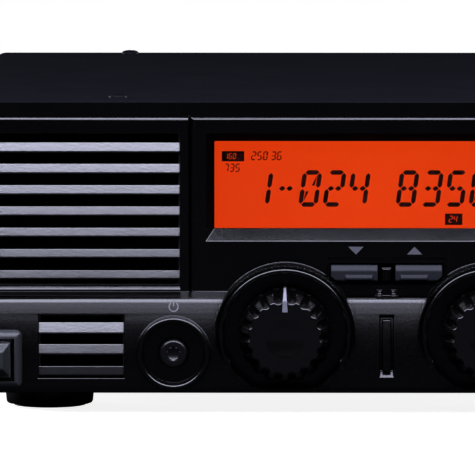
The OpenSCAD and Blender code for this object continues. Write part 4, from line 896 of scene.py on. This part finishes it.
@dataclass
class ScrewSet:
    """Round-headed cross-recess screws, spread by a Geometry Nodes tree.

    The lip and the recess's floor are shares of the head's height, and the recess's arm and width are shares
    of its radius.
    """

    name: str
    node: str
    slot: str
    spots: Sequence[Spot]
    head_r: float = 3.2
    head_h: float = 1.3
    seed: int = 3
    rings: int = 5
    around: int = 32
    sunk: float = 0.4
    lip: float = 0.2
    floor: float = 0.35
    arm: float = 0.58
    width: float = 0.17
    sharp_deg: float = 35.0

    def _head(self) -> Piece:
        """Make one head along +Z with a cross recess.

        Returns:
            A loose object that the tree copies.
        """
        bm = bmesh.new()
        r, h = self.head_r * MM, self.head_h * MM
        lip = self.lip * h
        profile = [(r, -self.sunk * MM), (r, lip)]
        for i in range(1, self.rings):
            a = math.radians(90 * i / self.rings)
            profile.append((r * math.cos(a), lip + (h - lip) * math.sin(a)))
        turns = [2 * math.pi * i / self.around for i in range(self.around)]
        rows = [[bm.verts.new((radius * math.cos(a), radius * math.sin(a), z)) for a in turns]
                for radius, z in profile]
        bm.faces.new(list(reversed(rows[0])))
        for low, high in zip(rows, rows[1:]):
            band(bm, high, low)
        top = bm.verts.new((0.0, 0.0, h))
        for i in range(self.around):
            bm.faces.new((rows[-1][i - 1], rows[-1][i], top))
        head = new_piece(bm, self.name + "_head")
        cutter = bmesh.new()
        size = Matrix.Diagonal((2 * self.arm * r, 2 * self.width * r, 2 * (1 - self.floor) * h, 1.0))
        for turn in (0.0, math.pi / 2):
            made = bmesh.ops.create_cube(cutter, size=1.0)
            place = Matrix.Translation((0.0, 0.0, h)) @ Matrix.Rotation(turn, 4, "Z") @ size
            bmesh.ops.transform(cutter, matrix=place, verts=made["verts"])
        tool = new_piece(cutter, self.name + "_recess")
        recess = head.modifiers.new("recess", "BOOLEAN")
        recess.operation = "DIFFERENCE"
        recess.object = tool
        recess.use_self = True
        bake_modifiers(head)
        bpy.data.objects.remove(tool)
        shade(head, self.sharp_deg)
        return head

    def _tree(self) -> Tree:
        """Build the tree that copies the head to each point, along its aim and with a turn of its own.

        Returns:
            The tree, with inputs for the head, the finish and the seed.
        """
        net = Net.group(self.name + "_spread", "GeometryNodeTree", {
            "Points": "Geometry", "Head": "Object", "Finish": "Material", "Seed": "Int",
        }, {"Screws": "Geometry"})
        start = net.add("NodeGroupInput").outputs
        head = net.add("GeometryNodeObjectInfo", {"Object": start["Head"]})
        aim = net.add("GeometryNodeInputNamedAttribute", {"Name": "aim"}, data_type="FLOAT_VECTOR")
        along = net.add("FunctionNodeAlignRotationToVector", {"Vector": aim.outputs["Attribute"]}, axis="Z")
        spin = net.add("FunctionNodeRandomValue", {2: 0.0, 3: math.pi / 2, "Seed": start["Seed"]},
                       data_type="FLOAT")
        turn = net.add("FunctionNodeAxisAngleToRotation", {"Axis": (0.0, 0.0, 1.0), "Angle": spin.outputs[1]})
        both = net.add("FunctionNodeRotateRotation", {
            "Rotation": along.outputs["Rotation"], "Rotate By": turn.outputs["Rotation"],
        }, rotation_space="LOCAL")
        copy = net.add("GeometryNodeInstanceOnPoints", {
            "Points": start["Points"], "Instance": head.outputs["Geometry"],
            "Rotation": both.outputs["Rotation"]})
        real = net.add("GeometryNodeRealizeInstances", {"Geometry": copy.outputs["Instances"]})
        paint = net.add("GeometryNodeSetMaterial", {
            "Geometry": real.outputs["Geometry"], "Material": start["Finish"]})
        net.add("NodeGroupOutput", {"Screws": paint.outputs["Geometry"]})
        return net.tree

    def build(self, palette: Palette) -> Piece:
        """Make the whole set as one piece.

        Args:
            palette: The finishes.

        Returns:
            The piece.
        """
        head = self._head()
        bm = bmesh.new()
        for place, _ in self.spots:
            bm.verts.new(place)
        obj = new_piece(bm, self.name)
        aims = obj.data.attributes.new("aim", "FLOAT_VECTOR", "POINT")
        for i, (_, way) in enumerate(self.spots):
            aims.data[i].vector = way
        tree = self._tree()
        spread = obj.modifiers.new("spread", "NODES")
        spread.node_group = tree
        keys = {item.name: item.identifier for item in tree.interface.items_tree}
        spread[keys["Head"]] = head
        spread[keys["Finish"]] = palette[self.slot]
        spread[keys["Seed"]] = self.seed
        bake_modifiers(obj)
        bpy.data.objects.remove(head)
        return own(obj, ROOT, self.slot, self.node)


@dataclass
class Fasteners:
    """The screws whose heads show: in the covers and the front, round the fan and round the antenna socket.

    A corner set is the middle across and up, the depth of the seats and the reach to each corner.
    """

    top_x: Point = (-63.5, 72.0)
    top_d: Point = (35.0, 259.5)
    top_z: float = 106.4
    low_x: Point = (-63.5, 63.5)
    low_d: Point = (26.0, 230.5)
    low_z: float = 8.6
    side_x: float = 115.0
    side_d: Point = (60.0, 218.5)
    side_z: Point = (45.5, 69.5)
    front_x: float = 118.74
    front_d: float = 9.5
    front_z: Point = (35.0, 84.0)
    fan: tuple[float, float, float, float] = (5.0, 62.5, 264.7, 25.0)
    antenna: tuple[float, float, float, float] = (88.0, 80.4, 264.5, 9.05)

    def _case(self) -> list[Spot]:
        """Give the seats in the covers and the front.

        Returns:
            Place and direction of each head.
        """
        spots = [(at(x, d, self.top_z), Vector((0, 0, 1))) for x in self.top_x for d in self.top_d]
        spots += [(at(x, d, self.low_z), Vector((0, 0, -1))) for x in self.low_x for d in self.low_d]
        for s in (-1, 1):
            way = Vector((s, 0, 0))
            spots += [(at(s * self.side_x, d, z), way) for d in self.side_d for z in self.side_z]
            spots += [(at(s * self.front_x, self.front_d, z), way) for z in self.front_z]
        return spots

    @staticmethod
    def _corners(x: float, z: float, d: float, reach: float) -> list[Spot]:
        """Give four seats on the rear wall, with the place and direction of each head."""
        back = Vector((0.0, 1.0, 0.0))
        return [(at(x + sx * reach, d, z + sz * reach), back) for sx in (-1, 1) for sz in (-1, 1)]

    def build(self, palette: Palette) -> None:
        """Make the three sets.

        Args:
            palette: The finishes.
        """
        ScrewSet("case_screw_heads", "case_screws", "painted_steel", self._case()).build(palette)
        ScrewSet("fan_screw_heads", "rear_screws", "bright_steel", self._corners(*self.fan),
                 head_r=3.4, head_h=2.2, seed=5).build(palette)
        ScrewSet("antenna_screw_heads", "rear_screws", "bright_steel", self._corners(*self.antenna),
                 head_r=2.5, head_h=1.4, seed=8).build(palette)


@dataclass
class Threaded:
    """A CAD node whose round end, from d0 to d1 deep, is shown with a cut thread."""

    node: str
    slot: str
    x: float
    z: float
    d0: float
    d1: float
    r: float
    depth: float
    pitch: float
    around: int = 48
    per_pitch: int = 6
    crest: float = 1.25
    near: float = 0.05
    before: float = 0.6
    sharp_deg: float = 32.0

    def _thread(self, bm: Shape) -> None:
        """Add the helical surface round the shank.

        Args:
            bm: The shape to add to.
        """
        rows = int((self.d1 - self.d0) / self.pitch * self.per_pitch)
        grid: list[list[Vert]] = []
        for i in range(rows + 1):
            d = self.d0 + (self.d1 - self.d0) * i / rows
            ease = min(1.0, 2.0 * min(i, rows - i) / self.per_pitch)
            ring = []
            for k in range(self.around):
                turn = k / self.around
                wave = abs(((d / self.pitch + turn) % 1.0) * 2.0 - 1.0)
                radius = self.r - self.depth + self.depth * min(1.0, wave * self.crest) * ease
                a = 2 * math.pi * turn
                ring.append(bm.verts.new(at(self.x + radius * math.cos(a), d, self.z + radius * math.sin(a))))
            grid.append(ring)
        for low, high in zip(grid, grid[1:]):
            band(bm, low, high)

    def build(self, palette: Palette) -> Piece:
        """Make the threaded copy of the node.

        Args:
            palette: The finishes.

        Returns:
            The piece.
        """
        bm = welded(self.node)
        axis = at(self.x, 0.0, self.z)
        for vert in bm.verts:
            arm = Vector((vert.co.x - axis.x, 0.0, vert.co.z - axis.z))
            d = vert.co.y / MM - STRIP_Y
            if abs(arm.length / MM - self.r) < self.near and d > self.d0 - self.before:
                inner = arm.normalized() * ((self.r - self.depth) * MM)
                vert.co.x, vert.co.z = axis.x + inner.x, axis.z + inner.z
        self._thread(bm)
        bmesh.ops.recalc_face_normals(bm, faces=bm.faces)
        obj = new_piece(bm, self.node + "_threaded")
        shade(obj, self.sharp_deg)
        palette.dress(obj, self.slot)
        return own(obj, ROOT, self.slot, self.node)


@dataclass(frozen=True)
class Softbox:
    """A rectangular soft light: where it hangs and looks, its sides in metres and its power in watts."""

    name: str
    place: Triple
    target: Triple
    size: Point
    power: float
    colour: Colour = (1.0, 1.0, 1.0)

    def hang(self) -> None:
        """Put the light in the scene."""
        data = bpy.data.lights.new(self.name, "AREA")
        data.shape = "RECTANGLE"
        data.size, data.size_y = self.size
        data.energy = self.power
        data.color = self.colour
        lamp = bpy.data.objects.new(self.name, data)
        lamp.location = self.place
        lamp.rotation_euler = (Vector(self.target) - Vector(self.place)).to_track_quat("-Z", "Y").to_euler()
        lamp.visible_camera = False
        bpy.context.scene.collection.objects.link(lamp)


@dataclass
class Studio:
    """Pale floor, soft lights and the camera of the photograph."""

    image: int = 475
    focal_px: float = 8736.0
    eye: Triple = (0.0, -3000.0, 328.1)
    aim_ray: Triple = (-0.00718, 1.0, -0.0892)
    sensor: float = 36.0
    view_end: float = 50.0
    floor_r: float = 1.6
    floor_z: float = -0.0002
    floor_sides: int = 96
    floor_colour: Colour = (0.5, 0.5, 0.5)
    floor_rough: float = 0.9
    floor_glow: float = 0.9
    floor_mirrored: Colour = (0.03, 0.03, 0.034)
    room_colour: Colour = (0.55, 0.6, 0.75)
    room_light: float = 0.03
    contrast: float = 0.75

    LAVENDER: ClassVar[Colour] = (0.825, 0.835, 1.0)
    LIGHTS: ClassVar[tuple[Softbox, ...]] = (
        Softbox("overhead", (0.0, -0.50, 0.68), (0.0, -0.50, 0.0), (1.7, 0.6), 44.0, LAVENDER),
        Softbox("front", (0.0, -0.95, 0.64), (0.0, -0.13, 0.06), (1.7, 0.25), 6.0, LAVENDER),
        Softbox("rear", (-1.4, 0.85, 0.3), (0.0, -0.1, 0.06), (0.7, 0.45), 30.0),
        Softbox("rear", (1.4, 0.85, 0.3), (0.0, -0.1, 0.06), (0.7, 0.45), 30.0),
    )

    def _camera(self) -> None:
        """Set the camera at the photograph's viewing angle."""
        data = bpy.data.cameras.new("view")
        data.sensor_width = self.sensor
        data.lens = self.focal_px / self.image * self.sensor
        data.clip_end = self.view_end
        cam = bpy.data.objects.new("view", data)
        cam.location = at(*self.eye)
        cam.rotation_euler = Vector(self.aim_ray).to_track_quat("-Z", "Y").to_euler()
        bpy.context.scene.collection.objects.link(cam)
        bpy.context.scene.camera = cam

    @staticmethod
    def _split(net: Net, end: str, seen: Node, other: Node) -> None:
        """Show one shader to the camera and light the scene by another.

        Args:
            net: The net.
            end: Name of its output node.
            seen: What the camera sees.
            other: What all other rays see.
        """
        pick = net.add("ShaderNodeMixShader", {
            "Fac": net.ray("Is Camera Ray"), 1: other.outputs[0], 2: seen.outputs[0]})
        net.feed(net.tree.nodes[end], {"Surface": pick.outputs[0]})

    def _floor(self) -> None:
        """Lay the pale floor, which stays dark in the radio's reflections."""
        bm = bmesh.new()
        bmesh.ops.create_circle(bm, cap_ends=True, segments=self.floor_sides, radius=self.floor_r)
        for vert in bm.verts:
            vert.co.z = self.floor_z
        obj = new_piece(bm, "floor")
        mat, net, shader = new_material("floor")
        net.feed(shader, {"Base Color": (*self.floor_colour, 1.0), "Roughness": self.floor_rough,
                          "Specular IOR Level": 0.0})
        lit = net.add("ShaderNodeEmission", {"Strength": self.floor_glow})
        pale = net.add("ShaderNodeAddShader", {0: shader.outputs[0], 1: lit.outputs[0]})
        dark = net.add("ShaderNodeBsdfDiffuse", {"Color": (*self.floor_mirrored, 1.0)})
        self._split(net, "Material Output", pale, dark)
        obj.data.materials.append(mat)

    def _world(self) -> None:
        """Set a white backdrop whose own light stays dim."""
        world = bpy.data.worlds.new("studio")
        bpy.context.scene.world = world
        world.use_nodes = True
        net = Net(world.node_tree)
        dim = world.node_tree.nodes["Background"]
        net.feed(dim, {"Color": (*self.room_colour, 1.0), "Strength": self.room_light})
        white = net.add("ShaderNodeBackground", {"Color": (1.0, 1.0, 1.0, 1.0)})
        self._split(net, "World Output", white, dim)

    def build(self) -> None:
        """Set up the whole studio."""
        bpy.context.scene.view_settings.view_transform = "Standard"
        bpy.context.scene.view_settings.gamma = self.contrast
        self._camera()
        self._floor()
        self._world()
        for light in self.LIGHTS:
            light.hang()


SIDE_KEYS = tuple(f"side_key_{i}" for i in range(1, 5))

ROUNDED: tuple[RoundedPart, ...] = (
    RoundedPart("front_panel", "case_plastic"),
    RoundedPart("speaker_grille", "grille_plastic", width=0.12),
    LeaningGrille("lower_grille", "grille_plastic", width=0.12,
                  louvres=((31.64, 3.9, 0.26), (24.16, 3.47, 0.35), (16.67, 3.04, -0.16))),
    RoundedPart("top_cover", "painted_steel", width=0.25),
    RoundedPart("bottom_cover", "painted_steel", width=0.25),
    RoundedPart("heat_sink", "sink_black", width=0.35),
    RoundedPart("front_feet", "foot_plastic", width=0.4, steps=3),
    RoundedPart("rear_feet", "foot_plastic", width=0.4, steps=3),
    RoundedPart("foot_pads", "foot_rubber", width=0.0),
    RoundedPart("channel_knob", "knob_plastic", "channel_knob", width=0.22),
    RoundedPart("volume_knob", "knob_plastic", "volume_knob", width=0.22),
    RoundedPart("power_button", "key_plastic", "power_button", finish="button_black"),
    RoundedPart("key_down", "key_plastic", "key_down", width=0.4, steps=3),
    RoundedPart("key_up", "key_plastic", "key_up", width=0.4, steps=3),
    *(RoundedPart(key, "key_plastic", key) for key in SIDE_KEYS),
    RoundedPart("mic_cap", "cap_rubber", "mic_cap", width=0.5, steps=3),
    RoundedPart("dc_inlet", "inlet_white"),
    RoundedPart("data_sockets", "socket_plating", width=0.2),
    RoundedPart("phone_jacks", "jack_black", width=0.25),
    RoundedPart("ground_nut", "contact_brass", width=0.25),
)

THREADED: tuple[Threaded, ...] = (
    Threaded("antenna_socket", "socket_plating", x=88.0, z=80.4, d0=265.2, d1=279.6, r=7.94, depth=0.6,
             pitch=1.06),
    Threaded("ground_stud", "contact_brass", x=58.0, z=20.8, d0=267.4, d1=275.3, r=2.5, depth=0.35,
             pitch=0.8),
)

PLAIN: dict[str, tuple[str, ...]] = {
    "backlight_white": ("backlight",),
    "board_green": ("front_board", "main_board", "amplifier_board"),
    "bright_steel": ("channel_encoder", "volume_pot", "control_nuts", "inner_screws", "fan_guard",
                     "foot_screws", "channel_shaft", "volume_shaft"),
    "can_tin": ("shield_cans",),
    "chassis_alloy": ("chassis",),
    "cloth_black": ("speaker_cloth",),
    "coil_copper": ("filter_coils",),
    "contact_brass": ("antenna_contact", "dc_pins", "board_standoffs"),
    "fan_black": ("fan_frame", "fan_rotor"),
    "insulator_cream": ("antenna_insulator",),
    "jack_black": ("mic_jack",),
    "magnet_grey": ("speaker_magnet",),
    "painted_steel": ("speaker_frame",),
    "paper_cone": ("speaker_cone",),
    "pointer_white": ("channel_pointer", "volume_pointer"),
    "ribbon_grey": ("ribbon_cable",),
    "switch_black": ("panel_switches", "power_transistors"),
}


def main() -> None:
    """Build every part of the scene in order."""
    logging.basicConfig(level=logging.INFO, format="%(message)s")
    palette = Palette()
    Studio().build()
    for part in ROUNDED:
        part.build(palette)
    for finish, nodes in PLAIN.items():
        for node in nodes:
            palette.dress_node(node, finish)
    Display().build(palette)
    PrintedSigns().build(palette)
    Fasteners().build(palette)
    for part in THREADED:
        part.build(palette)


if __name__ == "__main__":
    main()
